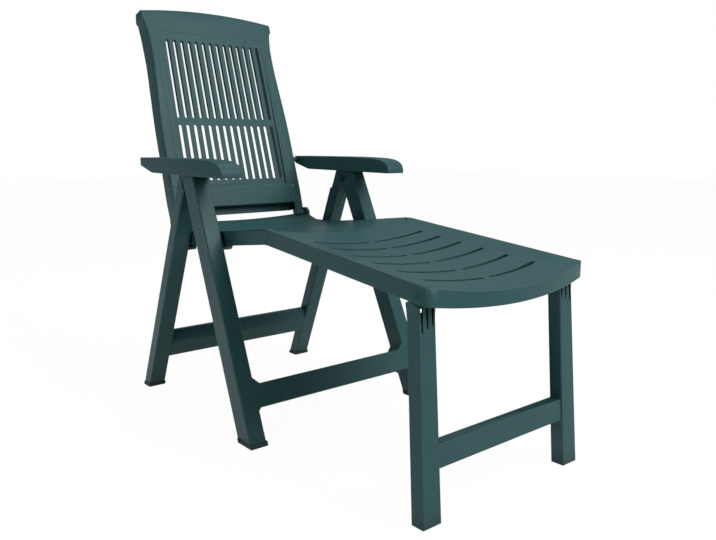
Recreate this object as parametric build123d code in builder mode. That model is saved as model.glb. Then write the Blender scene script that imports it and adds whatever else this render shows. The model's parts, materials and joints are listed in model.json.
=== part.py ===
from build123d import *
import os
from math import asin, atan, cos, degrees, radians, sin, tan

os.makedirs("parts", exist_ok=True)

# A folding sun lounger in moulded plastic. Z is up, X runs across the width and
# the foot end points towards -Y. The origin is on the floor, under the middle
# of the bounding box. Everything is placed from the apex where the two leg
# frames cross.

# Fits and moulded walls
running_gap = 0.06
pressed_gap = 0.02
side_gap = 0.5
stop_gap = 0.3
overrun = 8.0
wall = 3.6
sheet = 3.2
rib = 2.8
rib_lift = 2.0
pin_chamfer = 0.6
sides = (1, -1)

# Leg frames: one apex, two leans
apex_height = 606.0
knuckle_radius = 14.0
apex_pin_radius = 6.0
apex_pin_head_radius = 9.0
apex_pin_head = 3.0
apex_pin_end = 270.0
halving = 257.0
head_height = 650.0
head_ahead = 26.5
head_fall = 10.0
head_inset = 236.8
head_shoulder = 28.0
head_solid = 46.0
foot_solid = 34.0
leg_edge = 4.0

front_lean = 23.8
front_leg_depth = 53.6
front_leg_width = 44.4
front_spread = 279.2
front_splay_share = 0.0229
front_bar_drop = 537.5
front_bar_height = 58.2
front_bar_gusset = 17.0
front_bar_foot_gusset = 6.0
front_rib_pitch = 82.0
front_rib_count = 5

rear_lean = 23.1
rear_leg_depth = 33.7
rear_leg_width = 46.7
rear_spread = 277.4
rear_splay_share = 0.012
rear_bar_base = 95.8
rear_bar_crease = 136.5
rear_bar_top = 173.5
rear_bar_gusset = 9.0
rear_rib_pitch = 82.0
rear_rib_count = 4

cap_height = 10.0
cap_floor = 4.0
cap_wall = 1.4
cap_gap = 0.4

# Seat: it hangs on the front legs and rests on pegs in the rear legs
seat_pivot_ahead = 95.5
seat_pivot_drop = 149.0
seat_pin_radius = 8.0
seat_boss_radius = 15.0
seat_pin_bite = 30.0
seat_pin_root = 20.0
peg_behind = 85.5
peg_radius = 7.0
peg_reach = 24.0
peg_bite = 22.0
seat_half_width = 228.2
seat_rear_reach = 178.5
seat_low = 437.0
seat_dish = 24.0
# Shares along the seat: length, crest, base and dish, from the back to the knee
seat_shares = (
    (0.000, 0.754, 0.080, 0.42),
    (0.124, 0.516, 0.030, 0.62),
    (0.289, 0.522, 0.005, 0.98),
    (0.522, 0.672, 0.132, 1.00),
    (0.710, 0.803, 0.317, 1.00),
    (0.976, 0.997, 0.516, 1.00),
    (1.030, 1.005, 0.525, 1.00),
)
seat_rib_pitch = 76.0
seat_rib_count = 5
seat_rib_lanes = 4
seat_lane_pitch = 92.0

# Knee hinge between seat and footrest
knee_ahead = 306.0
knee_height = 501.0
knee_radius = 11.5
knee_pin_radius = 4.0
knee_pin_length = 22.0
knee_pin_cover = 2.6
seat_knuckle = 15.0
barrel_start = 108.0

# Footrest
footrest_reach = 830.0
footrest_slope = 6.0
footrest_bulge = 26.4
footrest_half_width = 237.8
footrest_skirt = 36.0
footrest_apron = 16.0
footrest_dish = 28.0
# Shares along the footrest: length, dish and apron, from the knee to the foot
footrest_shares = (
    (-0.030, 0.84, 0.0),
    (0.120, 0.90, 0.0),
    (0.450, 1.00, 0.0),
    (0.760, 0.95, 0.0),
    (0.940, 0.84, 0.0),
    (0.975, 0.81, 1.0),
    (1.070, 0.78, 1.0),
)
# Slot rows: distance from the knee at the middle, and how far the ends bow back
slot_rows = (
    (93.0, 2.0),
    (157.0, 3.0),
    (226.5, 4.0),
    (298.0, 5.0),
    (374.5, 8.0),
    (452.0, 12.0),
)
slot_width = 12.0
slot_start = 15.0
slot_end = 166.0
slot_edge = 2.0
slot_edge_base = 34.0
footrest_lane = 186.0

# Legs of the footrest
foot_leg_slope_share = 0.072
foot_leg_depth = 31.0
foot_leg_outer = 233.9
foot_leg_inner = 191.8
foot_outer_splay_share = 0.022
foot_inner_splay_share = 0.006
foot_leg_wall = 3.4
foot_leg_edge = 2.0
foot_pivot_behind = 41.9
foot_pivot_height = 414.0
foot_pivot_inset = 7.5
foot_pin_radius = 4.0
foot_pin_cover = 3.0
foot_lug_width = 20.0
foot_lug_radius = 7.0
foot_boss = 5.0
foot_flare = 2.8
foot_flare_length = 24.0
foot_shoulder = 11.0
foot_tongue = 11.0
foot_tongue_inset = 1.6
# Flutes in the front of each leg, from the inner to the outer
flute_lengths = (45.5, 49.5, 55.5)
flute_pitch = 14.0
flute_width = 8.0
flute_foot_width = 3.6
foot_bar_base = 103.5
foot_bar_height = 46.5
foot_bar_setback = 3.0
foot_bar_depth = 28.0

# Backrest
back_hinge_behind = 173.5
back_hinge_height = 490.0
back_lean = 17.1
ridge_ahead = 6.4
back_length = 638.4
back_half_width = 217.6
# Shares up the side of the back: height and half width
back_shares = (
    (0.000, 0.998),
    (0.080, 1.007),
    (0.235, 1.003),
    (0.418, 0.995),
    (0.557, 0.973),
    (0.718, 0.943),
    (0.798, 0.939),
    (0.869, 0.948),
    (0.918, 0.973),
    (0.974, 1.003),
)
back_rim = 55.0
# Shares up the rim: height and depth behind the front
back_rim_shares = (
    (0.000, 0.880),
    (0.130, 0.835),
    (0.345, 0.800),
    (0.540, 0.860),
    (0.700, 0.950),
    (0.820, 1.000),
    (0.890, 0.930),
    (0.945, 0.760),
)
back_rim_top = 28.0
back_curl = 2.0
back_curl_length = 36.0
back_start = 18.0
back_face_start = 38.8
back_flange_setback = 30.0
recess_low = 6.5
recess_high = 0.6
recess_half = 172.0
recess_start = 96.0
recess_end = 566.0
back_slots = 14
back_slot_pitch = 23.3
back_slot_pitch_low = 24.4
back_slot_width = 10.0
back_slat_depth = 12.0
back_slat_edge = 2.0
upper_slot_start = 305.6
upper_slot_end = 542.0
lower_slot_start = 117.8
lower_slot_end = 285.2
back_rib_depth = 25.0
back_rib_offset = 5.0
back_side_rib = 164.5
lug_inner = 188.0
lug_width = 27.0
lug_radius = 12.0
lug_rise = 46.0
ear_inner = 219.0
ear_outer = 229.0
ear_radius = 20.0
hinge_pin_radius = 5.0

# Armrests
armrest_inner = 231.0
armrest_outer = 290.5
armrest_top = 671.0
armrest_base = 627.0
armrest_wall = 3.0
armrest_nose_ahead = 213.5
armrest_pivot_behind = 227.5
armrest_pivot_height = 660.0
armrest_tail = 8.5
armrest_tail_rise = 23.0
armrest_tail_length = 74.0
armrest_base_rise = 4.0
armrest_edge = 3.5
# Shares of the nose: how far back it starts to drop, and how far it has dropped
nose_length = 122.0
nose_shares = (
    (1.000, 0.025),
    (0.540, 0.070),
    (0.300, 0.150),
    (0.150, 0.270),
    (0.050, 0.460),
    (0.008, 0.700),
)
armrest_pin_radius = 4.0
armrest_boss_radius = 7.5
armrest_boss_length = 9.0
armrest_pin_root = 20.0
rack_gap = 0.5
rack_thickness = 4.0
rack_reach_ahead = 130.0
rack_reach_behind = 78.0
rack_notches = 9
rack_pitch = 16.0
rack_notch_radius = 4.5
rack_inset = 9.0
armrest_rib_pitch = 68.0
armrest_rib_count = 5
armrest_rib_drop = 7.0

# Where everything stands
front_tilt = radians(front_lean)
rear_tilt = radians(rear_lean)
back_tilt = radians(back_lean)
deck_tilt = radians(footrest_slope)
foot_tilt = atan(foot_leg_slope_share)

front_out = footrest_reach + footrest_bulge
rear_out = (
    back_hinge_behind
    + (back_rim_top + back_curl - ridge_ahead) * cos(back_tilt)
    + back_length * sin(back_tilt)
)
apex_y = (front_out - rear_out) / 2

seat_pivot_y = apex_y - seat_pivot_ahead
seat_pivot_z = apex_height - seat_pivot_drop
knee_y = apex_y - knee_ahead
knee_top = knee_height + knee_radius
hinge_y = apex_y + back_hinge_behind
seat_back_y = apex_y + seat_rear_reach
armrest_pivot_y = apex_y + armrest_pivot_behind
foot_corner_y = apex_y - footrest_reach
foot_pivot_y = foot_corner_y + foot_pivot_behind

front_plane = Plane(
    origin=(0, apex_y, apex_height),
    x_dir=(1, 0, 0),
    z_dir=(0, -cos(front_tilt), sin(front_tilt)),
)
rear_plane = Plane(
    origin=(0, apex_y, apex_height),
    x_dir=(1, 0, 0),
    z_dir=(0, -cos(rear_tilt), -sin(rear_tilt)),
)
foot_plane = Plane(
    origin=(0, foot_pivot_y, foot_pivot_height),
    x_dir=(1, 0, 0),
    z_dir=(0, -cos(foot_tilt), sin(foot_tilt)),
)
back_plane = Plane(
    origin=(
        0,
        hinge_y - ridge_ahead * cos(back_tilt),
        back_hinge_height + ridge_ahead * sin(back_tilt),
    ),
    x_dir=(1, 0, 0),
    z_dir=(0, -cos(back_tilt), sin(back_tilt)),
)
back_side = Plane(origin=back_plane.origin, x_dir=back_plane.z_dir, z_dir=(-1, 0, 0))

front_run = apex_height / cos(front_tilt)
rear_run = apex_height / cos(rear_tilt)
front_foot_drop = front_run + front_leg_depth * tan(front_tilt)
rear_foot_drop = rear_run + rear_leg_depth * tan(rear_tilt)
front_head_rise = (head_height - apex_height) / cos(front_tilt)
rear_head_rise = (head_height - apex_height) / cos(rear_tilt)


def side_plane(x, y, z):
    """A plane across the chair at x, drawn with Y to the right and Z up."""
    return Plane(origin=(x, y, z), x_dir=(0, 1, 0), z_dir=(1, 0, 0))


def upright(side, outer, width, splay_share, low, high):
    """Corners of one upright on its leg plane; low and high count up the leg."""
    return [
        (side * (outer - splay_share * low), low),
        (side * (outer - splay_share * high), high),
        (side * (outer - splay_share * high - width), high),
        (side * (outer - splay_share * low - width), low),
    ]


def rear_face_y(z):
    """Y of the rear legs' front face at the height z."""
    return apex_y + (apex_height - z) * tan(rear_tilt)


def rim_section(plane, half, crest, sag, base, dip):
    """A panel's cross-section: two upright sides, a dished top and a flat or dipping base."""
    with BuildSketch(plane) as section:
        with BuildLine():
            Line((-half, base), (-half, crest))
            ThreePointArc((-half, crest), (0, crest - sag), (half, crest))
            Line((half, crest), (half, base))
            if dip:
                ThreePointArc((half, base), (0, base - dip), (-half, base))
            else:
                Line((half, base), (-half, base))
        make_face()
    return section.sketch


# Front leg frame: two uprights and a bar, open channels at the back
bar_half = front_spread + front_splay_share * front_bar_drop - front_leg_width
bar_top = -front_bar_drop
bar_low = -front_bar_drop - front_bar_height
with BuildPart() as front_leg_frame:
    with BuildSketch(front_plane):
        for side in sides:
            Polygon(
                *upright(
                    side,
                    front_spread,
                    front_leg_width,
                    front_splay_share,
                    -front_foot_drop - overrun,
                    front_head_rise + overrun,
                ),
                align=None,
            )
            for edge, gusset in ((bar_top, front_bar_gusset), (bar_low, -front_bar_foot_gusset)):
                Polygon(
                    (side * (bar_half + overrun), edge),
                    (side * (bar_half - abs(gusset)), edge),
                    (side * bar_half, edge + gusset),
                    (side * (bar_half + overrun), edge + gusset),
                    align=None,
                )
        with Locations((0, -front_bar_drop - front_bar_height / 2)):
            Rectangle(2 * (bar_half + overrun), front_bar_height)
    extrude(amount=front_leg_depth)
    front_faces = front_leg_frame.edges().group_by(Axis(front_plane.origin, front_plane.z_dir))
    fillet(front_faces[-1], radius=leg_edge)
    # Channels from behind, with cross ribs
    with BuildSketch(front_plane):
        for side in sides:
            Polygon(
                *upright(
                    side,
                    front_spread - wall,
                    front_leg_width - 2 * wall,
                    front_splay_share,
                    -front_run + foot_solid,
                    -head_solid,
                ),
                align=None,
            )
        for step in range(front_rib_count):
            with Locations((0, -head_solid - (step + 1) * front_rib_pitch)):
                Rectangle(2 * front_spread, rib, mode=Mode.SUBTRACT)
        with Locations((0, -front_bar_drop)):
            Rectangle(2 * (front_spread + wall), wall, mode=Mode.SUBTRACT)
        with Locations((0, -front_bar_drop - front_bar_height)):
            Rectangle(2 * (front_spread + wall), wall, mode=Mode.SUBTRACT)
        with Locations((0, -front_bar_drop - front_bar_height / 2)):
            Rectangle(2 * (bar_half - wall), front_bar_height - 2 * wall)
        for lane in range(-2, 3):
            with Locations((lane * front_rib_pitch, -front_bar_drop - front_bar_height / 2)):
                Rectangle(rib, front_bar_height, mode=Mode.SUBTRACT)
    extrude(amount=front_leg_depth - wall, mode=Mode.SUBTRACT)
    for side in sides:
        # Boss round the seat pivot
        boss_start = front_spread + front_splay_share * seat_pivot_drop - front_leg_width
        with BuildSketch(side_plane(side * (boss_start + wall / 2), seat_pivot_y, seat_pivot_z)):
            Circle(seat_boss_radius)
        extrude(amount=side * (front_leg_width - wall))
        # Knuckle round the apex, on the outer half only
        knuckle_x = halving + side_gap / 2
        with BuildSketch(side_plane(side * knuckle_x, apex_y, apex_height)):
            Circle(knuckle_radius)
        extrude(amount=side * (front_spread - leg_edge - knuckle_x))
        # The inner half makes room for the rear frame's head
        with BuildSketch(rear_plane.offset(side_gap)):
            with Locations((side * (halving + side_gap / 2 - front_leg_width / 2), 0)):
                Rectangle(front_leg_width, 2 * front_leg_depth + 2 * head_solid)
        extrude(amount=-2 * front_leg_depth, mode=Mode.SUBTRACT)
        with BuildSketch(side_plane(side * knuckle_x, apex_y, apex_height)):
            Circle(knuckle_radius + side_gap)
        extrude(amount=-side * front_leg_width, mode=Mode.SUBTRACT)
        # The head is narrower inside the armrest
        with BuildSketch(side_plane(side * head_inset, apex_y, armrest_base - 2 * side_gap)):
            with Locations((0, head_solid)):
                Rectangle(4 * front_leg_depth, 2 * head_solid + 4 * overrun)
        extrude(amount=-side * front_leg_width, mode=Mode.SUBTRACT)
        # Blind bores for the apex pin and the seat pivot
        with BuildSketch(side_plane(side * (knuckle_x - overrun), apex_y, apex_height)):
            Circle(apex_pin_radius + pressed_gap)
        extrude(amount=side * (apex_pin_end + pressed_gap - knuckle_x + overrun), mode=Mode.SUBTRACT)
        with BuildSketch(side_plane(side * (boss_start - overrun), seat_pivot_y, seat_pivot_z)):
            Circle(seat_pin_radius + running_gap)
        extrude(amount=side * (overrun + seat_pin_bite + side_gap), mode=Mode.SUBTRACT)
    # The tops are cut level at the front and fall away behind
    with BuildSketch(Plane.XY.offset(head_height)):
        with Locations((0, apex_y)):
            Rectangle(4 * front_spread, 8 * front_leg_depth)
    extrude(amount=4 * head_solid, mode=Mode.SUBTRACT)
    head_line = Plane(
        origin=(0, apex_y - head_ahead, head_height),
        x_dir=(1, 0, 0),
        z_dir=(0, sin(radians(head_fall)), cos(radians(head_fall))),
    )
    with BuildSketch(head_line):
        with Locations((0, 2 * front_leg_depth)):
            Rectangle(4 * front_spread, 4 * front_leg_depth)
    extrude(amount=4 * head_solid, mode=Mode.SUBTRACT)
    # The feet stand on the floor of their caps
    with BuildSketch(Plane.XY.offset(cap_floor)):
        with Locations((0, apex_y - front_run * sin(front_tilt))):
            Rectangle(4 * front_spread, 8 * front_leg_depth)
    extrude(amount=-4 * foot_solid, mode=Mode.SUBTRACT)
front_leg_frame.part.label = "front_leg_frame"
export_step(front_leg_frame.part, "parts/front_leg_frame.step")

# Rear leg frame: two uprights and a creased bar
rear_bar_half = rear_spread + rear_splay_share * rear_run - rear_leg_width
rear_depth_y = rear_leg_depth / cos(rear_tilt)
with BuildPart() as rear_leg_frame:
    with BuildSketch(rear_plane):
        for side in sides:
            Polygon(
                *upright(
                    side,
                    rear_spread,
                    rear_leg_width,
                    rear_splay_share,
                    -rear_foot_drop - overrun,
                    rear_head_rise + 2 * overrun,
                ),
                align=None,
            )
    extrude(amount=-rear_leg_depth)
    rear_faces = rear_leg_frame.edges().group_by(Axis(rear_plane.origin, rear_plane.z_dir))
    fillet(rear_faces[-1], radius=leg_edge)
    with BuildSketch(rear_plane.offset(-rear_leg_depth)):
        for side in sides:
            Polygon(
                *upright(
                    side,
                    rear_spread - wall,
                    rear_leg_width - 2 * wall,
                    rear_splay_share,
                    -rear_run + foot_solid,
                    -head_solid,
                ),
                align=None,
            )
        for step in range(rear_rib_count):
            with Locations((0, -head_solid - (step + 1) * rear_rib_pitch)):
                Rectangle(2 * rear_spread, rib, mode=Mode.SUBTRACT)
    extrude(amount=rear_leg_depth - wall, mode=Mode.SUBTRACT)
    # The bar: a leaning lower band, an upright upper band, open behind
    with BuildSketch(side_plane(0, 0, 0)):
        Polygon(
            (rear_face_y(rear_bar_base), rear_bar_base),
            (rear_face_y(rear_bar_crease), rear_bar_crease),
            (rear_face_y(rear_bar_crease), rear_bar_top),
            (rear_face_y(rear_bar_top) + rear_depth_y, rear_bar_top),
            (rear_face_y(rear_bar_base) + rear_depth_y, rear_bar_base),
            align=None,
        )
    extrude(amount=rear_bar_half, both=True)
    with BuildSketch(side_plane(0, 0, 0)):
        Polygon(
            (rear_face_y(rear_bar_base + wall) + wall, rear_bar_base + wall),
            (rear_face_y(rear_bar_crease) + wall, rear_bar_crease),
            (rear_face_y(rear_bar_crease) + wall, rear_bar_top - wall),
            (rear_face_y(rear_bar_top) + rear_depth_y + overrun, rear_bar_top - wall),
            (rear_face_y(rear_bar_base) + rear_depth_y + overrun, rear_bar_base + wall),
            align=None,
        )
    extrude(amount=rear_bar_half - wall, both=True, mode=Mode.SUBTRACT)
    for lane in range(-2, 3):
        with BuildSketch(side_plane(lane * rear_rib_pitch, 0, 0)):
            Polygon(
                (rear_face_y(rear_bar_base), rear_bar_base),
                (rear_face_y(rear_bar_crease), rear_bar_crease),
                (rear_face_y(rear_bar_crease), rear_bar_top),
                (rear_face_y(rear_bar_top) + rear_depth_y - rib, rear_bar_top),
                (rear_face_y(rear_bar_base) + rear_depth_y - rib, rear_bar_base),
                align=None,
            )
        extrude(amount=rib / 2, both=True)
    for side in sides:
        # Small gussets above the bar
        with BuildSketch(side_plane(side * rear_bar_half, 0, 0)):
            Polygon(
                (rear_face_y(rear_bar_crease), rear_bar_top - wall),
                (rear_face_y(rear_bar_crease), rear_bar_top + rear_bar_gusset),
                (rear_face_y(rear_bar_crease) + rear_depth_y / 2, rear_bar_top - wall),
                align=None,
            )
        extrude(amount=-side * rear_bar_gusset)
        # Knuckle round the apex, on the inner half only
        knuckle_in = halving - side_gap / 2
        with BuildSketch(side_plane(side * knuckle_in, apex_y, apex_height)):
            Circle(knuckle_radius)
        extrude(amount=-side * (knuckle_in - head_inset))
        # The outer half makes room for the front frame's head
        with BuildSketch(front_plane.offset(-side_gap)):
            with Locations((side * (knuckle_in + rear_leg_width / 2), 0)):
                Rectangle(rear_leg_width, 2 * front_leg_depth + 2 * head_solid)
        extrude(amount=2 * front_leg_depth, mode=Mode.SUBTRACT)
        with BuildSketch(side_plane(side * knuckle_in, apex_y, apex_height)):
            Circle(knuckle_radius + side_gap)
        extrude(amount=side * rear_leg_width, mode=Mode.SUBTRACT)
        # The head is narrower, which leaves room for the pin's head
        with BuildSketch(side_plane(side * head_inset, apex_y, apex_height - head_shoulder)):
            with Locations((0, 2 * head_solid)):
                Rectangle(4 * front_leg_depth, 4 * head_solid)
        extrude(amount=-side * rear_leg_width, mode=Mode.SUBTRACT)
        with BuildSketch(side_plane(side * (head_inset - overrun), apex_y, apex_height)):
            Circle(apex_pin_radius + running_gap)
        extrude(amount=side * (overrun + rear_leg_width), mode=Mode.SUBTRACT)
    with BuildSketch(Plane.XY.offset(head_height)):
        with Locations((0, apex_y)):
            Rectangle(4 * rear_spread, 8 * front_leg_depth)
    extrude(amount=4 * head_solid, mode=Mode.SUBTRACT)
    with BuildSketch(head_line):
        with Locations((0, 2 * front_leg_depth)):
            Rectangle(4 * rear_spread, 4 * front_leg_depth)
    extrude(amount=4 * head_solid, mode=Mode.SUBTRACT)
    with BuildSketch(Plane.XY.offset(cap_floor)):
        with Locations((0, apex_y + rear_run * sin(rear_tilt))):
            Rectangle(4 * rear_spread, 8 * front_leg_depth)
    extrude(amount=-4 * foot_solid, mode=Mode.SUBTRACT)
    # Rest pegs sit in solid blocks of the uprights
    rest_z = seat_low - stop_gap - peg_radius
    rest_y = apex_y + peg_behind
    rest_x = rear_spread + rear_splay_share * (apex_height - rest_z) - rear_leg_width
    for side in sides:
        with BuildSketch(side_plane(side * (rest_x + wall / 2), rest_y, rest_z)):
            Circle(peg_radius + wall)
        extrude(amount=side * (peg_bite + wall))
        with BuildSketch(side_plane(side * (rest_x - overrun), rest_y, rest_z)):
            Circle(peg_radius + pressed_gap)
        extrude(amount=side * (overrun + peg_bite + pressed_gap), mode=Mode.SUBTRACT)
rear_leg_frame.part.label = "rear_leg_frame"
export_step(rear_leg_frame.part, "parts/rear_leg_frame.step")

# Foot caps: sloping cups that the four feet of the leg frames stand in
front_mid_run = (front_run + front_foot_drop) / 2
rear_mid_run = (rear_run + rear_foot_drop) / 2
front_foot_x = front_spread + front_splay_share * front_mid_run - front_leg_width / 2
front_foot_y = apex_y - front_run * sin(front_tilt) - front_leg_depth / cos(front_tilt) / 2
rear_foot_x = rear_spread + rear_splay_share * rear_mid_run - rear_leg_width / 2
rear_foot_y = apex_y + rear_run * sin(rear_tilt) + rear_depth_y / 2
front_depth_y = front_leg_depth / cos(front_tilt)


def cap_sketch(x, y, width, depth, height, lean, splay):
    """A cap's outline at one height, shifted along the lean and the splay of its leg."""
    with BuildSketch(Plane.XY.offset(height)) as outline:
        with Locations((x + height * splay, y + height * lean)):
            Rectangle(width, depth)
    return outline.sketch


front_cap_width = front_leg_width + 2 * cap_wall
front_cap_depth = front_depth_y + 2 * cap_wall
rear_cap_width = rear_leg_width + 2 * cap_wall
rear_cap_depth = rear_depth_y + 2 * cap_wall
front_cup_width = front_leg_width + 2 * cap_gap
front_cup_depth = front_depth_y + 2 * cap_gap
rear_cup_width = rear_leg_width + 2 * cap_gap
rear_cup_depth = rear_depth_y + 2 * cap_gap
front_shift = tan(front_tilt)
rear_shift = -tan(rear_tilt)

front_in = front_splay_share / cos(front_tilt)
rear_in = rear_splay_share / cos(rear_tilt)
cap_walls = (0, cap_height)
cup_walls = (cap_floor, cap_height + overrun)

with BuildPart() as foot_cap_front_left:
    loft(
        [
            cap_sketch(
                -front_foot_x, front_foot_y, front_cap_width, front_cap_depth, z, front_shift, front_in
            )
            for z in cap_walls
        ]
    )
    loft(
        [
            cap_sketch(
                -front_foot_x, front_foot_y, front_cup_width, front_cup_depth, z, front_shift, front_in
            )
            for z in cup_walls
        ],
        mode=Mode.SUBTRACT,
    )
foot_cap_front_left.part.label = "foot_cap_front_left"
export_step(foot_cap_front_left.part, "parts/foot_cap_front_left.step")

with BuildPart() as foot_cap_front_right:
    add(mirror(foot_cap_front_left.part, about=Plane.YZ, mode=Mode.PRIVATE))
foot_cap_front_right.part.label = "foot_cap_front_right"
export_step(foot_cap_front_right.part, "parts/foot_cap_front_right.step")

with BuildPart() as foot_cap_rear_left:
    loft(
        [
            cap_sketch(
                -rear_foot_x, rear_foot_y, rear_cap_width, rear_cap_depth, z, rear_shift, rear_in
            )
            for z in cap_walls
        ]
    )
    loft(
        [
            cap_sketch(
                -rear_foot_x, rear_foot_y, rear_cup_width, rear_cup_depth, z, rear_shift, rear_in
            )
            for z in cup_walls
        ],
        mode=Mode.SUBTRACT,
    )
foot_cap_rear_left.part.label = "foot_cap_rear_left"
export_step(foot_cap_rear_left.part, "parts/foot_cap_rear_left.step")

with BuildPart() as foot_cap_rear_right:
    add(mirror(foot_cap_rear_left.part, about=Plane.YZ, mode=Mode.PRIVATE))
foot_cap_rear_right.part.label = "foot_cap_rear_right"
export_step(foot_cap_rear_right.part, "parts/foot_cap_rear_right.step")


def round_pin(side, start, end, y, z, radius):
    """A plain chamfered pin across the chair, between two distances from the middle."""
    with BuildPart() as pin:
        with BuildSketch(side_plane(side * start, y, z)):
            Circle(radius)
        extrude(amount=side * (end - start))
        chamfer(pin.edges().filter_by(GeomType.CIRCLE), length=pin_chamfer)
    return pin.part


# Apex pins: pressed into the front frame, the rear frame turns on them
def apex_pin(side):
    with BuildPart() as pin:
        with BuildSketch(side_plane(side * (head_inset - stop_gap), apex_y, apex_height)):
            Circle(apex_pin_radius)
        extrude(amount=side * (apex_pin_end - head_inset + stop_gap))
        with BuildSketch(side_plane(side * (head_inset - stop_gap), apex_y, apex_height)):
            Circle(apex_pin_head_radius)
        extrude(amount=-side * apex_pin_head)
        chamfer(pin.edges().filter_by(GeomType.CIRCLE).group_by(Axis.X)[-1], length=pin_chamfer)
    return pin.part


with BuildPart() as apex_pin_left:
    add(apex_pin(-1))
apex_pin_left.part.label = "apex_pin_left"
export_step(apex_pin_left.part, "parts/apex_pin_left.step")

with BuildPart() as apex_pin_right:
    add(apex_pin(1))
apex_pin_right.part.label = "apex_pin_right"
export_step(apex_pin_right.part, "parts/apex_pin_right.step")

# Seat pivot pins: pressed into the seat, they turn in the front legs
seat_pin_start = seat_half_width - seat_pin_root
seat_pin_stop = boss_start + seat_pin_bite
with BuildPart() as seat_pivot_pin_left:
    add(round_pin(-1, seat_pin_start, seat_pin_stop, seat_pivot_y, seat_pivot_z, seat_pin_radius))
seat_pivot_pin_left.part.label = "seat_pivot_pin_left"
export_step(seat_pivot_pin_left.part, "parts/seat_pivot_pin_left.step")

with BuildPart() as seat_pivot_pin_right:
    add(round_pin(1, seat_pin_start, seat_pin_stop, seat_pivot_y, seat_pivot_z, seat_pin_radius))
seat_pivot_pin_right.part.label = "seat_pivot_pin_right"
export_step(seat_pivot_pin_right.part, "parts/seat_pivot_pin_right.step")

# Rest pegs: pressed into the rear legs, the seat's rails lie on them
with BuildPart() as seat_rest_peg_left:
    add(round_pin(-1, rest_x - peg_reach, rest_x + peg_bite, rest_y, rest_z, peg_radius))
seat_rest_peg_left.part.label = "seat_rest_peg_left"
export_step(seat_rest_peg_left.part, "parts/seat_rest_peg_left.step")

with BuildPart() as seat_rest_peg_right:
    add(round_pin(1, rest_x - peg_reach, rest_x + peg_bite, rest_y, rest_z, peg_radius))
seat_rest_peg_right.part.label = "seat_rest_peg_right"
export_step(seat_rest_peg_right.part, "parts/seat_rest_peg_right.step")

# Seat: a dished sheet between two deep rails
seat_length = seat_back_y - knee_y
seat_swing = knee_top - seat_low


def seat_section(index, inset, drop, foot):
    """One cross-section of the seat, or of the hollow under it."""
    along, crest, base, dish = seat_shares[index]
    plane = Plane(
        origin=(0, seat_back_y - along * seat_length, seat_low),
        x_dir=(1, 0, 0),
        z_dir=(0, -1, 0),
    )
    return rim_section(
        plane,
        seat_half_width - inset,
        crest * seat_swing - drop,
        dish * seat_dish,
        base * seat_swing - foot,
        0,
    )


seat_stations = range(len(seat_shares))
with BuildPart() as seat_hollow:
    loft([seat_section(index, wall, sheet, overrun) for index in seat_stations], ruled=True)
    # The hollow stops short of both ends
    with BuildSketch(Plane.XY.offset(seat_low - 2 * overrun)):
        with Locations((0, (seat_back_y + knee_y) / 2)):
            Rectangle(2 * seat_half_width, seat_length - 2 * wall)
    extrude(amount=4 * seat_swing, mode=Mode.INTERSECT)
    # Ribs across and along are left standing
    for step in range(-(seat_rib_count // 2), seat_rib_count // 2 + 1):
        rib_y = (seat_back_y + knee_y) / 2 + step * seat_rib_pitch
        with BuildSketch(Plane.XY.offset(seat_low + rib_lift)):
            with Locations((0, rib_y)):
                Rectangle(2 * seat_half_width, rib)
        extrude(amount=2 * seat_swing, mode=Mode.SUBTRACT)
    for lane in range(seat_rib_lanes):
        with BuildSketch(Plane.XY.offset(seat_low + rib_lift)):
            with Locations(((lane - (seat_rib_lanes - 1) / 2) * seat_lane_pitch, apex_y)):
                Rectangle(rib, 4 * seat_length)
        extrude(amount=2 * seat_swing, mode=Mode.SUBTRACT)

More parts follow.
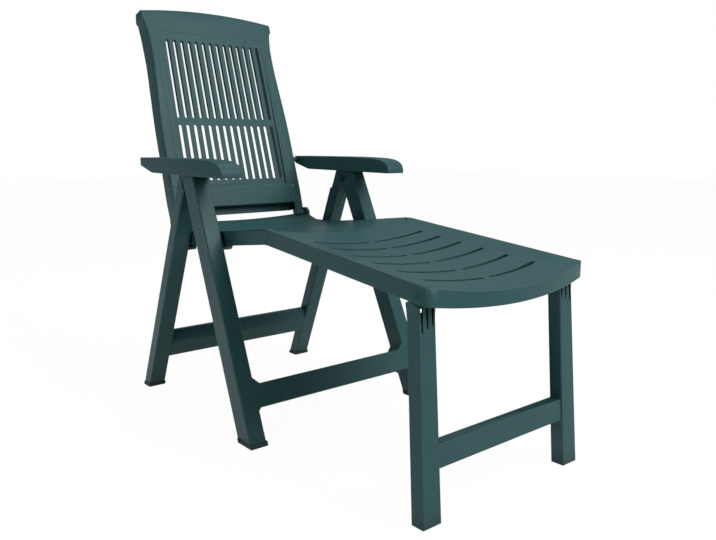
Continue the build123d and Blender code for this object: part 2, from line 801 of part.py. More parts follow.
lug_pocket_y = hinge_y - lug_radius - 2 * side_gap
knuckle_inner = seat_half_width - seat_knuckle
with BuildPart() as seat_panel:
    loft([seat_section(index, 0, 0, 0) for index in seat_stations], ruled=True)
    with BuildSketch(Plane.XY.offset(seat_low - overrun)):
        with Locations((0, (seat_back_y + knee_y + stop_gap / 2) / 2)):
            Rectangle(3 * seat_half_width, seat_back_y - knee_y - stop_gap / 2)
    extrude(amount=4 * seat_swing, mode=Mode.INTERSECT)
    add(seat_hollow.part, mode=Mode.SUBTRACT)
    for side in sides:
        # Ears that carry the back's hinge pins
        with BuildSketch(side_plane(side * ear_inner, hinge_y, back_hinge_height)):
            Circle(ear_radius)
        extrude(amount=side * (ear_outer - ear_inner))
        with BuildSketch(side_plane(side * (ear_inner - wall), hinge_y, back_hinge_height)):
            with Locations((-ear_radius / 2, -ear_radius)):
                Rectangle(ear_radius, 2 * ear_radius)
        extrude(amount=side * (seat_half_width - ear_inner + wall))
        # Boss and root of the seat pivot
        with BuildSketch(side_plane(side * (seat_pin_start - wall), seat_pivot_y, seat_pivot_z)):
            Circle(seat_boss_radius)
        extrude(amount=side * (boss_start - stop_gap - seat_pin_start + wall))
        # Pads that lie on the rest pegs
        with BuildSketch(side_plane(side * (rest_x - peg_reach), rest_y, seat_low)):
            with Locations((0, (wall + peg_radius) / 2)):
                Rectangle(2 * peg_radius, wall + peg_radius)
        extrude(amount=side * (seat_half_width - rest_x + peg_reach))
        # Outer knuckle of the knee
        with BuildSketch(side_plane(side * knuckle_inner, knee_y, knee_height)):
            Circle(knee_radius)
        extrude(amount=side * seat_knuckle)
        with BuildSketch(side_plane(side * knuckle_inner, knee_y, knee_height)):
            with Locations((knee_radius / 2 + stop_gap / 4, -knee_radius)):
                Rectangle(knee_radius - stop_gap / 2, 2 * knee_radius)
        extrude(amount=side * seat_knuckle)
        # Notch over the knuckle, where the footrest's edge swings up
        with BuildSketch(side_plane(side * knuckle_inner, knee_y, knee_height)):
            with Locations((knee_radius / 2 + side_gap, 3 * knee_radius / 2)):
                Rectangle(knee_radius + 2 * side_gap, 2 * knee_radius)
            Circle(knee_radius, mode=Mode.SUBTRACT)
        extrude(amount=side * (seat_knuckle + overrun), mode=Mode.SUBTRACT)
        # Room for the footrest's barrel
        with BuildSketch(side_plane(side * (knuckle_inner + side_gap / 2), knee_y, knee_height)):
            Circle(knee_radius + side_gap)
        extrude(amount=-side * (knuckle_inner + side_gap / 2 - barrel_start + side_gap), mode=Mode.SUBTRACT)
        # Pockets for the back's lugs, open at the rear
        with BuildSketch(Plane.XY.offset(seat_low + wall)):
            with Locations((side * (lug_inner + lug_width / 2), lug_pocket_y + seat_length / 2)):
                Rectangle(lug_width + 2 * side_gap, seat_length)
        extrude(amount=2 * seat_swing, mode=Mode.SUBTRACT)
        # Bores for the three pins of this side
        with BuildSketch(side_plane(side * (ear_inner - 2 * overrun), hinge_y, back_hinge_height)):
            Circle(hinge_pin_radius + pressed_gap)
        extrude(amount=side * (ear_outer - ear_inner + 3 * overrun), mode=Mode.SUBTRACT)
        with BuildSketch(side_plane(side * seat_pin_start, seat_pivot_y, seat_pivot_z)):
            Circle(seat_pin_radius + pressed_gap)
        extrude(amount=side * (boss_start - seat_pin_start), mode=Mode.SUBTRACT)
        with BuildSketch(side_plane(side * (knuckle_inner - overrun), knee_y, knee_height)):
            Circle(knee_pin_radius + pressed_gap)
        extrude(amount=side * (overrun + seat_knuckle - knee_pin_cover), mode=Mode.SUBTRACT)
seat_panel.part.label = "seat_panel"
export_step(seat_panel.part, "parts/seat_panel.step")

# Back hinge pins: pressed into the seat's ears, the back's lugs turn on them
with BuildPart() as back_hinge_pin_left:
    add(round_pin(-1, lug_inner, ear_outer, hinge_y, back_hinge_height, hinge_pin_radius))
back_hinge_pin_left.part.label = "back_hinge_pin_left"
export_step(back_hinge_pin_left.part, "parts/back_hinge_pin_left.step")

with BuildPart() as back_hinge_pin_right:
    add(round_pin(1, lug_inner, ear_outer, hinge_y, back_hinge_height, hinge_pin_radius))
back_hinge_pin_right.part.label = "back_hinge_pin_right"
export_step(back_hinge_pin_right.part, "parts/back_hinge_pin_right.step")

# Knee pins: pressed into the seat's knuckles, the footrest turns on them
knee_pin_end = seat_half_width - knee_pin_cover - pressed_gap
knee_pin_start = knee_pin_end - knee_pin_length
with BuildPart() as knee_pin_left:
    add(round_pin(-1, knee_pin_start, knee_pin_end, knee_y, knee_height, knee_pin_radius))
knee_pin_left.part.label = "knee_pin_left"
export_step(knee_pin_left.part, "parts/knee_pin_left.step")

with BuildPart() as knee_pin_right:
    add(round_pin(1, knee_pin_start, knee_pin_end, knee_y, knee_height, knee_pin_radius))
knee_pin_right.part.label = "knee_pin_right"
export_step(knee_pin_right.part, "parts/knee_pin_right.step")

# Footrest: a dished, slotted panel with a skirt, bowed at the foot
footrest_run = (footrest_reach - knee_ahead) / cos(deck_tilt)


def footrest_section(index, inset, drop, foot):
    """One cross-section of the footrest, square to its slope, or of its hollow."""
    along, dish, apron = footrest_shares[index]
    run = along * footrest_run
    plane = Plane(
        origin=(0, knee_y - run * cos(deck_tilt), knee_top - run * sin(deck_tilt)),
        x_dir=(1, 0, 0),
        z_dir=(0, -cos(deck_tilt), -sin(deck_tilt)),
    )
    spread = (footrest_half_width - seat_half_width) * max(along, 0)
    return rim_section(
        plane,
        seat_half_width + spread - inset,
        -drop,
        dish * footrest_dish,
        -footrest_skirt - foot,
        apron * footrest_apron,
    )


def footrest_outline(inset, back):
    """Plan of the footrest: straight sides, a bowed front and small corners."""
    with BuildSketch(Plane.XY.offset(knee_top / 2)) as outline:
        half = footrest_half_width + overrun - inset
        front = foot_corner_y + inset
        with BuildLine():
            Polyline((-half, front), (-half, back), (half, back), (half, front))
            ThreePointArc((half, front), (0, front - footrest_bulge), (-half, front))
        make_face()
    return outline.sketch


footrest_stations = range(len(footrest_shares))
deck_plane = Plane(
    origin=(0, knee_y, knee_top),
    x_dir=(1, 0, 0),
    z_dir=(0, -sin(deck_tilt), cos(deck_tilt)),
)


def footrest_slots(grow):
    """The bowed slots, two in each row, drawn on the plane of the footrest."""
    with BuildSketch(deck_plane.offset(overrun)) as slots:
        for run, bow in slot_rows:
            radius = (slot_end**2 + bow**2) / (2 * bow)
            first = degrees(asin(slot_start / radius))
            sweep = degrees(asin(slot_end / radius)) - first
            for start in (-90 + first, -90 - first - sweep):
                SlotArc(CenterArc((0, radius - run), radius, start, sweep), height=slot_width + 2 * grow)
    return slots.sketch


lug_start = foot_leg_inner + (foot_leg_outer - foot_leg_inner - foot_lug_width) / 2
with BuildPart() as footrest_hollow:
    loft(
        [footrest_section(index, wall, sheet, overrun) for index in footrest_stations], ruled=True
    )
    extrude(footrest_outline(wall, knee_y - wall - stop_gap / 2), amount=knee_top, mode=Mode.INTERSECT)
    # Ribs across, between the rows of slots, and ribs along
    with BuildSketch(deck_plane.offset(-footrest_skirt + rib_lift)):
        for (run, bow), (next_run, next_bow) in zip(slot_rows, slot_rows[1:]):
            with Locations((0, (bow + next_bow) / 4 - (run + next_run) / 2)):
                Rectangle(2 * footrest_half_width, rib)
        for lane in (-footrest_lane, 0, footrest_lane):
            with Locations((lane, -footrest_run / 2)):
                Rectangle(rib, 2 * footrest_run)
    extrude(amount=2 * footrest_skirt, mode=Mode.SUBTRACT)
    # Each slot has a deep edge all round
    extrude(footrest_slots(slot_edge), amount=-overrun - slot_edge_base, mode=Mode.SUBTRACT)
    # Columns over the legs' lugs
    with BuildSketch(Plane.XY.offset(foot_pivot_height + foot_lug_radius)):
        for side in sides:
            with Locations((side * (lug_start + foot_lug_width / 2), foot_pivot_y)):
                Rectangle(foot_lug_width, 2 * foot_lug_radius)
    extrude(amount=2 * footrest_skirt, mode=Mode.SUBTRACT)

with BuildPart() as footrest_panel:
    loft([footrest_section(index, 0, 0, 0) for index in footrest_stations], ruled=True)
    extrude(footrest_outline(0, knee_y + knee_radius), amount=knee_top, mode=Mode.INTERSECT)
    add(footrest_hollow.part, mode=Mode.SUBTRACT)
    # Six bowed rows, two slots in each
    extrude(footrest_slots(0), amount=-footrest_skirt - 2 * overrun, mode=Mode.SUBTRACT)
    # The end that meets the seat, with barrels left standing beside the knuckles
    with BuildSketch(side_plane(0, knee_y, knee_height)):
        with Locations((overrun - stop_gap / 2, 0)):
            Rectangle(2 * overrun, 4 * footrest_skirt)
    extrude(amount=barrel_start, both=True, mode=Mode.SUBTRACT)
    for side in sides:
        barrel_length = knuckle_inner - side_gap / 2 - barrel_start
        with BuildSketch(side_plane(side * barrel_start, knee_y, knee_height)):
            with Locations((overrun - stop_gap / 2, 0)):
                Rectangle(2 * overrun, 4 * footrest_skirt)
            Circle(knee_radius, mode=Mode.SUBTRACT)
        extrude(amount=side * barrel_length, mode=Mode.SUBTRACT)
        with BuildSketch(side_plane(side * (barrel_start + barrel_length), knee_y, knee_height)):
            with Locations((overrun - stop_gap / 2, 0)):
                Rectangle(2 * overrun, 4 * footrest_skirt)
            Circle(knee_radius + side_gap)
        extrude(amount=side * (seat_knuckle + overrun), mode=Mode.SUBTRACT)
        # Barrel core, only as high as the dished sheet above it allows
        core_start = knee_pin_start - knee_pin_cover
        with BuildSketch(side_plane(side * core_start, knee_y, knee_height)):
            Circle(knee_pin_radius + knee_pin_cover)
        extrude(amount=side * (barrel_start + barrel_length - core_start))
        with BuildSketch(side_plane(side * core_start, knee_y, knee_height)):
            with Locations((-knee_radius / 2, -(knee_pin_radius + knee_pin_cover) / 2)):
                Rectangle(knee_radius, knee_pin_radius + knee_pin_cover)
        extrude(amount=side * (barrel_start + barrel_length - core_start))
        with BuildSketch(side_plane(side * (knee_pin_start - side_gap), knee_y, knee_height)):
            Circle(knee_pin_radius + running_gap)
        extrude(amount=side * (knee_pin_length + overrun), mode=Mode.SUBTRACT)
        # Lug that reaches down into the leg
        with BuildSketch(side_plane(side * lug_start, foot_pivot_y, foot_pivot_height)):
            Circle(foot_lug_radius)
            with Locations((0, footrest_skirt / 4)):
                Rectangle(2 * foot_lug_radius, footrest_skirt / 2)
        extrude(amount=side * foot_lug_width)
        with BuildSketch(side_plane(side * (lug_start - overrun), foot_pivot_y, foot_pivot_height)):
            Circle(foot_pin_radius + running_gap)
        extrude(amount=side * (foot_lug_width + 2 * overrun), mode=Mode.SUBTRACT)
footrest_panel.part.label = "footrest_panel"
export_step(footrest_panel.part, "parts/footrest_panel.step")

# Leg frame of the footrest: two channels open at the back and a set-back bar
foot_run = foot_pivot_height / cos(foot_tilt)
foot_front = foot_leg_depth - foot_pivot_inset
with BuildPart() as foot_corner_cut:
    with BuildSketch(side_plane(0, foot_pivot_y, foot_pivot_height)):
        with Locations((foot_shoulder, foot_shoulder)):
            Rectangle(2 * foot_shoulder, 2 * foot_shoulder)
        Circle(foot_shoulder, mode=Mode.SUBTRACT)
    extrude(amount=footrest_half_width + overrun, both=True)

with BuildPart() as footrest_leg_frame:
    with BuildSketch(foot_plane.offset(-foot_pivot_inset)):
        for side in sides:
            foot_end = -foot_run - overrun
            Polygon(
                (side * (foot_leg_outer - foot_outer_splay_share * foot_end), foot_end),
                (side * (foot_leg_outer + foot_outer_splay_share * foot_flare_length), -foot_flare_length),
                (side * (foot_leg_outer + foot_flare), foot_pivot_inset),
                (side * (foot_leg_inner - foot_flare), foot_pivot_inset),
                (side * (foot_leg_inner + foot_inner_splay_share * foot_flare_length), -foot_flare_length),
                (side * (foot_leg_inner - foot_inner_splay_share * foot_end), foot_end),
                align=None,
            )
            # Tongue behind the skirt
            with Locations((side * (foot_leg_outer + foot_leg_inner) / 2, foot_pivot_inset)):
                Rectangle(foot_leg_outer - foot_leg_inner - 2 * foot_tongue_inset, 2 * foot_tongue)
    extrude(amount=foot_leg_depth)
    foot_faces = footrest_leg_frame.edges().group_by(Axis(foot_plane.origin, foot_plane.z_dir))
    fillet(foot_faces[-1].sort_by(SortBy.LENGTH)[-4:], radius=foot_leg_edge)
    foot_bar_half = foot_leg_inner + foot_inner_splay_share * foot_run + foot_leg_wall
    with BuildSketch(foot_plane.offset(foot_front - foot_bar_setback)):
        with Locations((0, (foot_bar_base + foot_bar_height / 2 - foot_pivot_height) / cos(foot_tilt))):
            Rectangle(2 * foot_bar_half, foot_bar_height)
    extrude(amount=-foot_bar_depth)
    # Channels from behind, open at the top where the lugs come in
    with BuildSketch(foot_plane.offset(-foot_pivot_inset)):
        for side in sides:
            foot_floor = -foot_run + foot_solid
            Polygon(
                (side * (foot_leg_outer - foot_leg_wall - foot_outer_splay_share * foot_floor), foot_floor),
                (side * (foot_leg_outer - foot_leg_wall), foot_tongue + foot_front),
                (side * (foot_leg_inner + foot_leg_wall), foot_tongue + foot_front),
                (side * (foot_leg_inner + foot_leg_wall - foot_inner_splay_share * foot_floor), foot_floor),
                align=None,
            )
        for step in range(1, front_rib_count):
            with Locations((0, -step * front_rib_pitch)):
                Rectangle(2 * footrest_half_width, rib, mode=Mode.SUBTRACT)
    extrude(amount=foot_leg_depth - foot_leg_wall, mode=Mode.SUBTRACT)
    with BuildSketch(foot_plane.offset(foot_front - foot_bar_setback - foot_bar_depth)):
        with Locations((0, (foot_bar_base + foot_bar_height / 2 - foot_pivot_height) / cos(foot_tilt))):
            Rectangle(2 * (foot_bar_half - 2 * foot_leg_wall), foot_bar_height - 2 * foot_leg_wall)
        for lane in range(-2, 3):
            with Locations((lane * rear_rib_pitch, -foot_run / 2)):
                Rectangle(rib, 2 * foot_run, mode=Mode.SUBTRACT)
    extrude(amount=foot_bar_depth - foot_leg_wall, mode=Mode.SUBTRACT)
    for side in sides:
        # The outer side keeps clear of the skirt above its lower edge
        with BuildSketch(foot_plane.offset(-foot_pivot_inset)):
            shoulder = foot_pivot_inset - 2 * side_gap
            with Locations((side * (foot_leg_outer + foot_flare), shoulder + foot_leg_depth / 2)):
                Rectangle(2 * foot_flare + 2 * foot_tongue_inset, foot_leg_depth)
        extrude(amount=foot_leg_depth, mode=Mode.SUBTRACT)
        # Shoulder that closes the gap under the skirt and rolls past it
        shoulder_x = foot_leg_outer - foot_leg_wall
        shoulder_front = foot_shoulder - foot_front * tan(deck_tilt + foot_tilt)
        with BuildSketch(
            Plane(
                origin=(side * shoulder_x, foot_pivot_y, foot_pivot_height),
                x_dir=(0, cos(foot_tilt), -sin(foot_tilt)),
                z_dir=(1, 0, 0),
            )
        ):
            Circle(foot_shoulder)
            Polygon((0, 0), (0, foot_shoulder), (-foot_front, shoulder_front), (-foot_front, 0), align=None)
            with Locations(((foot_pivot_inset - foot_front) / 2, foot_shoulder / 2)):
                Rectangle(foot_leg_depth, foot_shoulder, mode=Mode.INTERSECT)
        extrude(amount=side * (foot_leg_wall + foot_flare))
        # Bosses that carry the pin
        boss_x = foot_leg_outer - foot_leg_wall - foot_boss
        with BuildSketch(side_plane(side * boss_x, foot_pivot_y, foot_pivot_height)):
            Circle(foot_pivot_inset)
        extrude(amount=side * (foot_boss + foot_leg_wall / 2))
        # Tapering flutes in the front, under the skirt
        for lane, flute_length in zip((-flute_pitch, 0, flute_pitch), flute_lengths):
            flute_x = (foot_leg_outer + foot_leg_inner) / 2 + lane
            with BuildSketch(foot_plane.offset(foot_front)):
                Polygon(
                    (side * (flute_x - flute_width / 2), foot_pivot_inset),
                    (side * (flute_x + flute_width / 2), foot_pivot_inset),
                    (side * (flute_x + flute_foot_width / 2), foot_pivot_inset - flute_length),
                    (side * (flute_x - flute_foot_width / 2), foot_pivot_inset - flute_length),
                    align=None,
                )
            extrude(amount=-foot_leg_wall - overrun, mode=Mode.SUBTRACT)
        with BuildSketch(side_plane(side * (foot_leg_inner - overrun), foot_pivot_y, foot_pivot_height)):
            Circle(foot_pin_radius + pressed_gap)
        extrude(
            amount=side * (foot_leg_outer - foot_leg_inner + overrun - foot_pin_cover), mode=Mode.SUBTRACT
        )
    add(foot_corner_cut.part, mode=Mode.SUBTRACT)
    with BuildSketch(Plane.XY):
        with Locations((0, foot_pivot_y)):
            Rectangle(4 * footrest_half_width, 4 * foot_run)
    extrude(amount=-4 * overrun, mode=Mode.SUBTRACT)
footrest_leg_frame.part.label = "footrest_leg_frame"
export_step(footrest_leg_frame.part, "parts/footrest_leg_frame.step")

# Pins of the footrest's legs: pressed into the legs, they turn in the lugs
foot_pin_end = foot_leg_outer - foot_pin_cover - pressed_gap
with BuildPart() as footrest_leg_pin_left:
    add(round_pin(-1, foot_leg_inner, foot_pin_end, foot_pivot_y, foot_pivot_height, foot_pin_radius))
footrest_leg_pin_left.part.label = "footrest_leg_pin_left"
export_step(footrest_leg_pin_left.part, "parts/footrest_leg_pin_left.step")

with BuildPart() as footrest_leg_pin_right:
    add(round_pin(1, foot_leg_inner, foot_pin_end, foot_pivot_y, foot_pivot_height, foot_pin_radius))
footrest_leg_pin_right.part.label = "footrest_leg_pin_right"
export_step(footrest_leg_pin_right.part, "parts/footrest_leg_pin_right.step")

# Backrest: a ribbed shell with a recessed, slotted middle
def back_outline(inset, base):
    """Front view of the back on its own plane, drawn in from the edge by inset."""
    with BuildSketch(back_plane) as outline:
        points = [
            (share * back_half_width - inset, back_start + rise * (back_length - back_start))
            for rise, share in back_shares
        ]
        points[0] = (points[0][0], base)
        top_half, top_side = points[-1]
        top_side -= inset
        points[-1] = (top_half, top_side)
        with BuildLine():
            Spline(*points)
            Spline(*[(-x, y) for x, y in points])
            ThreePointArc((top_half, top_side), (0, back_length - inset), (-top_half, top_side))
            Line((-points[0][0], base), points[0])
        make_face()
    return outline.sketch


def recess_wedge(extra):
    """The shallow wedge that sets the middle of the back behind its rims."""
    with BuildPart() as wedge:
        with BuildSketch(back_side):
            Polygon(
                (overrun, recess_start - extra - overrun),
                (-recess_low - extra, recess_start - extra + recess_low),
                (-recess_high - extra, recess_end + extra),
                (overrun, recess_end + extra),
                align=None,
            )
        extrude(amount=recess_half + extra, both=True)
    return wedge.part


def back_slot_rows(grow):
    """Two rows of upright slots that fan out a little downwards."""
    fan = (back_slot_pitch - back_slot_pitch_low) / (upper_slot_end - lower_slot_start)
    with BuildSketch(back_plane) as slots:
        for start, end in ((lower_slot_start, lower_slot_end), (upper_slot_start, upper_slot_end)):
            middle = (start + end) / 2
            pitch = back_slot_pitch_low + fan * (middle - lower_slot_start)
            for number in range(back_slots):
                lane = number - (back_slots - 1) / 2
                with Locations((lane * pitch, middle)):
                    SlotOverall(
                        end - start + 2 * grow,
                        back_slot_width + 2 * grow,
                        rotation=90 - degrees(atan(lane * fan)),
                    )
    return slots.sketch


with BuildPart() as back_hollow:
    extrude(back_outline(wall, back_start + wall), amount=-back_rim - overrun)
    # The sheet in front of the hollow is set back in the middle
    with BuildSketch(back_plane):
        Rectangle(4 * back_half_width, 4 * back_length)
    extrude(amount=-sheet, mode=Mode.SUBTRACT)
    add(recess_wedge(sheet), mode=Mode.SUBTRACT)
    # Each slot has a deep edge all round
    extrude(back_slot_rows(back_slat_edge), amount=-back_slat_depth, mode=Mode.SUBTRACT)
    # Deep ribs above and below the slots and beside them
    with BuildSketch(back_plane):
        for level in (
            lower_slot_start - back_rib_offset,
            (lower_slot_end + upper_slot_start) / 2,
            upper_slot_end + back_rib_offset,
        ):
            with Locations((0, level)):
                Rectangle(2 * back_side_rib, rib)
        for lane in (-back_side_rib, back_side_rib):
            with Locations((lane, (recess_start + recess_end) / 2)):
                Rectangle(rib, recess_end - recess_start)
        for level in (recess_start - 2 * back_rib_offset, recess_end + 2 * back_rib_offset):
            with Locations((0, level)):
                Rectangle(2 * back_half_width, rib)
    extrude(amount=-back_rib_depth, mode=Mode.SUBTRACT)

with BuildPart() as backrest_panel:
    with BuildSketch(back_side):
        rim_points = [
            (-share * back_rim, back_start + rise * (back_length - back_start))
            for rise, share in back_rim_shares
        ]
        with BuildLine():
            Spline((-back_curl - back_rim_top, back_length), *reversed(rim_points))
            Polyline(
                rim_points[0],
                (0, back_start),
                (0, back_length - back_curl_length),
                (-back_curl, back_length),
                (-back_curl - back_rim_top, back_length),
            )
        make_face()
    extrude(amount=2 * back_half_width, both=True)
    extrude(back_outline(0, back_start), amount=-2 * back_rim, mode=Mode.INTERSECT)
    add(recess_wedge(0), mode=Mode.SUBTRACT)
    add(back_hollow.part, mode=Mode.SUBTRACT)
    extrude(back_slot_rows(0), amount=-back_rib_depth, mode=Mode.SUBTRACT)
    # The lower edge steps back between the rims
    with BuildSketch(back_plane):
        with Locations((0, (back_face_start + back_start - overrun) / 2)):
            Rectangle(2 * (lug_inner - side_gap), back_face_start - back_start + overrun)
    extrude(amount=-back_flange_setback, mode=Mode.SUBTRACT)
    with BuildSketch(back_plane.offset(-back_flange_setback)):
        with Locations((0, (back_face_start + back_start) / 2)):
            Rectangle(2 * lug_inner, back_face_start - back_start)
    extrude(amount=-wall)
    with BuildSketch(back_plane):
        with Locations((0, back_face_start + wall / 2)):
            Rectangle(2 * lug_inner, wall)
    extrude(amount=-back_flange_setback - wall)
    # Cheeks close both ends of the step
    with BuildSketch(back_plane):
        for side in sides:
            with Locations((side * (lug_inner + wall / 2), (back_face_start + wall + back_start) / 2)):
                Rectangle(wall, back_face_start + wall - back_start)
    extrude(amount=-back_flange_setback - wall)
    for side in sides:
        # Lugs that reach down to the hinge
        with BuildSketch(side_plane(side * lug_inner, hinge_y, back_hinge_height)):
            Circle(lug_radius)
            with Locations(Rotation(0, 0, -back_lean)):
                with Locations((0, lug_rise / 2)):
                    Rectangle(2 * ridge_ahead, lug_rise)
                with Locations((lug_radius / 2, lug_rise / 2)):
                    Rectangle(lug_radius, lug_rise)
        extrude(amount=side * lug_width)
        with BuildSketch(side_plane(side * (lug_inner - overrun), hinge_y, back_hinge_height)):
            Circle(hinge_pin_radius + running_gap)
        extrude(amount=side * (lug_width + 2 * overrun), mode=Mode.SUBTRACT)
        # Boss that carries the armrest's pin
        arm_root = back_half_width - armrest_pin_root
        with BuildSketch(side_plane(side * arm_root, armrest_pivot_y, armrest_pivot_height)):
            Circle(armrest_boss_radius)
        extrude(amount=side * (armrest_inner - stop_gap - arm_root))
        with BuildSketch(side_plane(side * arm_root, armrest_pivot_y, armrest_pivot_height)):
            Circle(armrest_pin_radius + pressed_gap)
        extrude(amount=side * (armrest_inner - arm_root), mode=Mode.SUBTRACT)
backrest_panel.part.label = "backrest_panel"
export_step(backrest_panel.part, "parts/backrest_panel.step")

# Armrests: channels open below, racked inside, hinged to the back
nose_y = apex_y - armrest_nose_ahead
tail_y = armrest_pivot_y + armrest_tail
armrest_height = armrest_top - armrest_base


def armrest_profile(inset, below):
    """Side view of the armrest; inset draws in its top, nose and tail."""
    top = armrest_top - inset
    points = [
        (
            nose_y + share * nose_length + inset,
            armrest_top - drop * armrest_height - inset,
        )
        for share, drop in nose_shares
    ]
    return [
        (tail_y - inset, armrest_base + armrest_tail_rise - below),
        (tail_y - inset, top),
        *points,
        (nose_y + inset, armrest_base - below),
        (tail_y - armrest_tail_length, armrest_base + armrest_base_rise - below),
    ]


def armrest(side):
    """One armrest with its racks and its pivot boss."""
    with BuildPart() as hollow:
        with BuildSketch(side_plane(side * (armrest_inner + armrest_wall), 0, 0)):
            Polygon(*armrest_profile(armrest_wall, overrun), align=None)
        extrude(amount=side * (armrest_outer - armrest_inner - 2 * armrest_wall))
        # Short cross ribs under the top
        for step in range(armrest_rib_count):
            rib_y = nose_y + armrest_rib_drop * 2 + (step + 1 / 2) * armrest_rib_pitch
            with BuildSketch(side_plane(side * armrest_inner, rib_y, armrest_top)):
                Rectangle(rib, 2 * (armrest_wall + armrest_rib_drop))
            extrude(amount=side * (armrest_outer - armrest_inner), mode=Mode.SUBTRACT)
        # Two racks of notches over the heads of the legs
        rack_y = apex_y - head_ahead
        for rack_x in (
            armrest_inner + armrest_wall + rack_inset,
            armrest_outer - armrest_wall - rack_inset - rack_thickness,
        ):
            with BuildSketch(side_plane(side * rack_x, rack_y, head_height + rack_gap)):
                with Locations(((rack_reach_behind - rack_reach_ahead) / 2, armrest_height / 2)):
                    Rectangle(rack_reach_ahead + rack_reach_behind, armrest_height)
                for notch in range(rack_notches):
                    with Locations(((notch + 1 / 2 - rack_notches) * rack_pitch, 0)):
                        Circle(rack_notch_radius, mode=Mode.SUBTRACT)
            extrude(amount=side * rack_thickness, mode=Mode.SUBTRACT)
        with BuildSketch(side_plane(side * armrest_inner, armrest_pivot_y, armrest_pivot_height)):
            Circle(armrest_boss_radius)
        extrude(amount=side * (armrest_wall + armrest_boss_length), mode=Mode.SUBTRACT)
    with BuildPart() as body:
        with BuildSketch(side_plane(side * armrest_inner, 0, 0)):
            Polygon(*armrest_profile(0, 0), align=None)
        extrude(amount=side * (armrest_outer - armrest_inner))
        long_edges = body.edges().filter_by(Axis.X, reverse=True)
        upper_edges = long_edges.filter_by(
            lambda edge: edge.center().Z > armrest_base + armrest_tail_rise
            or edge.center().Y < nose_y + 2 * armrest_edge
        )
        fillet(upper_edges, radius=armrest_edge)
        add(hollow.part, mode=Mode.SUBTRACT)
        with BuildSketch(side_plane(side * (armrest_inner - overrun), armrest_pivot_y, armrest_pivot_height)):
            Circle(armrest_pin_radius + running_gap)
        extrude(amount=side * (2 * overrun + armrest_wall + armrest_boss_length), mode=Mode.SUBTRACT)
    return body.part


with BuildPart() as armrest_left:
    add(armrest(-1))
armrest_left.part.label = "armrest_left"
export_step(armrest_left.part, "parts/armrest_left.step")

with BuildPart() as armrest_right:
    add(armrest(1))
armrest_right.part.label = "armrest_right"
export_step(armrest_right.part, "parts/armrest_right.step")

# Armrest pins: pressed into the back's bosses
arm_pin_end = armrest_inner + armrest_wall + armrest_boss_length
with BuildPart() as armrest_pin_left:
    add(round_pin(-1, arm_root, arm_pin_end, armrest_pivot_y, armrest_pivot_height, armrest_pin_radius))
armrest_pin_left.part.label = "armrest_pin_left"
export_step(armrest_pin_left.part, "parts/armrest_pin_left.step")

with BuildPart() as armrest_pin_right:
    add(round_pin(1, arm_root, arm_pin_end, armrest_pivot_y, armrest_pivot_height, armrest_pin_radius))
armrest_pin_right.part.label = "armrest_pin_right"
export_step(armrest_pin_right.part, "parts/armrest_pin_right.step")
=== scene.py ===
# %% [markdown]
# # A folding sun lounger in moulded plastic
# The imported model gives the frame: where each piece is, how large it is and
# what it rides on. This lesson dresses that frame. The legs, the seat and the
# footrest keep the shapes of their solids. The backrest and the armrests are
# made again as smooth sheets, because a sheet with a rounded rim catches the
# light as the real moulding does.

import json
import math

import bmesh
import bpy
from mathutils import Matrix, Vector

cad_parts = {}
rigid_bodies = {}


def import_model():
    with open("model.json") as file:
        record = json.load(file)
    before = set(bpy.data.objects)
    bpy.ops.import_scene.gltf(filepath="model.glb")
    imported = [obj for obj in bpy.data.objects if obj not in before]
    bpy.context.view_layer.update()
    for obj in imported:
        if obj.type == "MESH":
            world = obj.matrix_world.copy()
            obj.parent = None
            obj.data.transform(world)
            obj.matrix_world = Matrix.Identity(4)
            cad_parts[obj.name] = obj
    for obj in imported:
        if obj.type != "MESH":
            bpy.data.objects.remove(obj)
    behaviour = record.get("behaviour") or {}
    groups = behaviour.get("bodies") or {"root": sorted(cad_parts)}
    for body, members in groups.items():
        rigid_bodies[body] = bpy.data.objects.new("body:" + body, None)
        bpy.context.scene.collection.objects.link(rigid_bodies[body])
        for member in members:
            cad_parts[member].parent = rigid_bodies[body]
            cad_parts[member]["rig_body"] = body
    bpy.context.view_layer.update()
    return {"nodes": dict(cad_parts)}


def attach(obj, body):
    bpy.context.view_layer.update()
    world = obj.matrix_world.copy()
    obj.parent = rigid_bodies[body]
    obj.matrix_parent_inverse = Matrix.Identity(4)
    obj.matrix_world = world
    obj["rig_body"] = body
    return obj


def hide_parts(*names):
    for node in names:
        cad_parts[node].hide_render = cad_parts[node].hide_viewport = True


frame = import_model()
MM = 0.001


# %% [markdown]
# ## Camera
# The photograph was taken from the left of the foot end, a little above the
# armrests. The camera stands where the floor contacts and the straight edges
# of the frames put it, and looks slightly down.

# %% Camera
CAMERA_PLACE = (-1.1290, -1.4807, 0.7026)
CAMERA_YAW = 39.78
CAMERA_PITCH = -9.71
PHOTO_WIDTH_PX = 716
FOCAL_PX = 725.65
SENSOR_MM = 36.0

camera_data = bpy.data.cameras.new("photo_camera")
camera_data.sensor_fit = "HORIZONTAL"
camera_data.sensor_width = SENSOR_MM
camera_data.lens = FOCAL_PX / PHOTO_WIDTH_PX * SENSOR_MM
camera_data.clip_start = 0.02
camera_data.clip_end = 60.0
camera = bpy.data.objects.new("photo_camera", camera_data)
camera.location = CAMERA_PLACE
camera.rotation_euler = (math.radians(90 + CAMERA_PITCH), 0, math.radians(-CAMERA_YAW))
scene = bpy.context.scene
scene.collection.objects.link(camera)
scene.camera = camera
scene.view_settings.view_transform = "Standard"
print("lens", round(camera_data.lens, 2), "mm")


# %% [markdown]
# ## Small helpers
# Every finished piece is a mesh whose object sits at the origin, so that it
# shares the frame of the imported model. One helper links a mesh and one bakes
# modifiers into it. Another gives a sheet its wall, one sets the shading, and
# the last reads a smooth curve through a few measured points.

# %% Mesh helpers
def link_mesh(mesh, name):
    """A new object at the origin that shows this mesh."""
    piece = bpy.data.objects.new(name, mesh)
    scene.collection.objects.link(piece)
    return piece


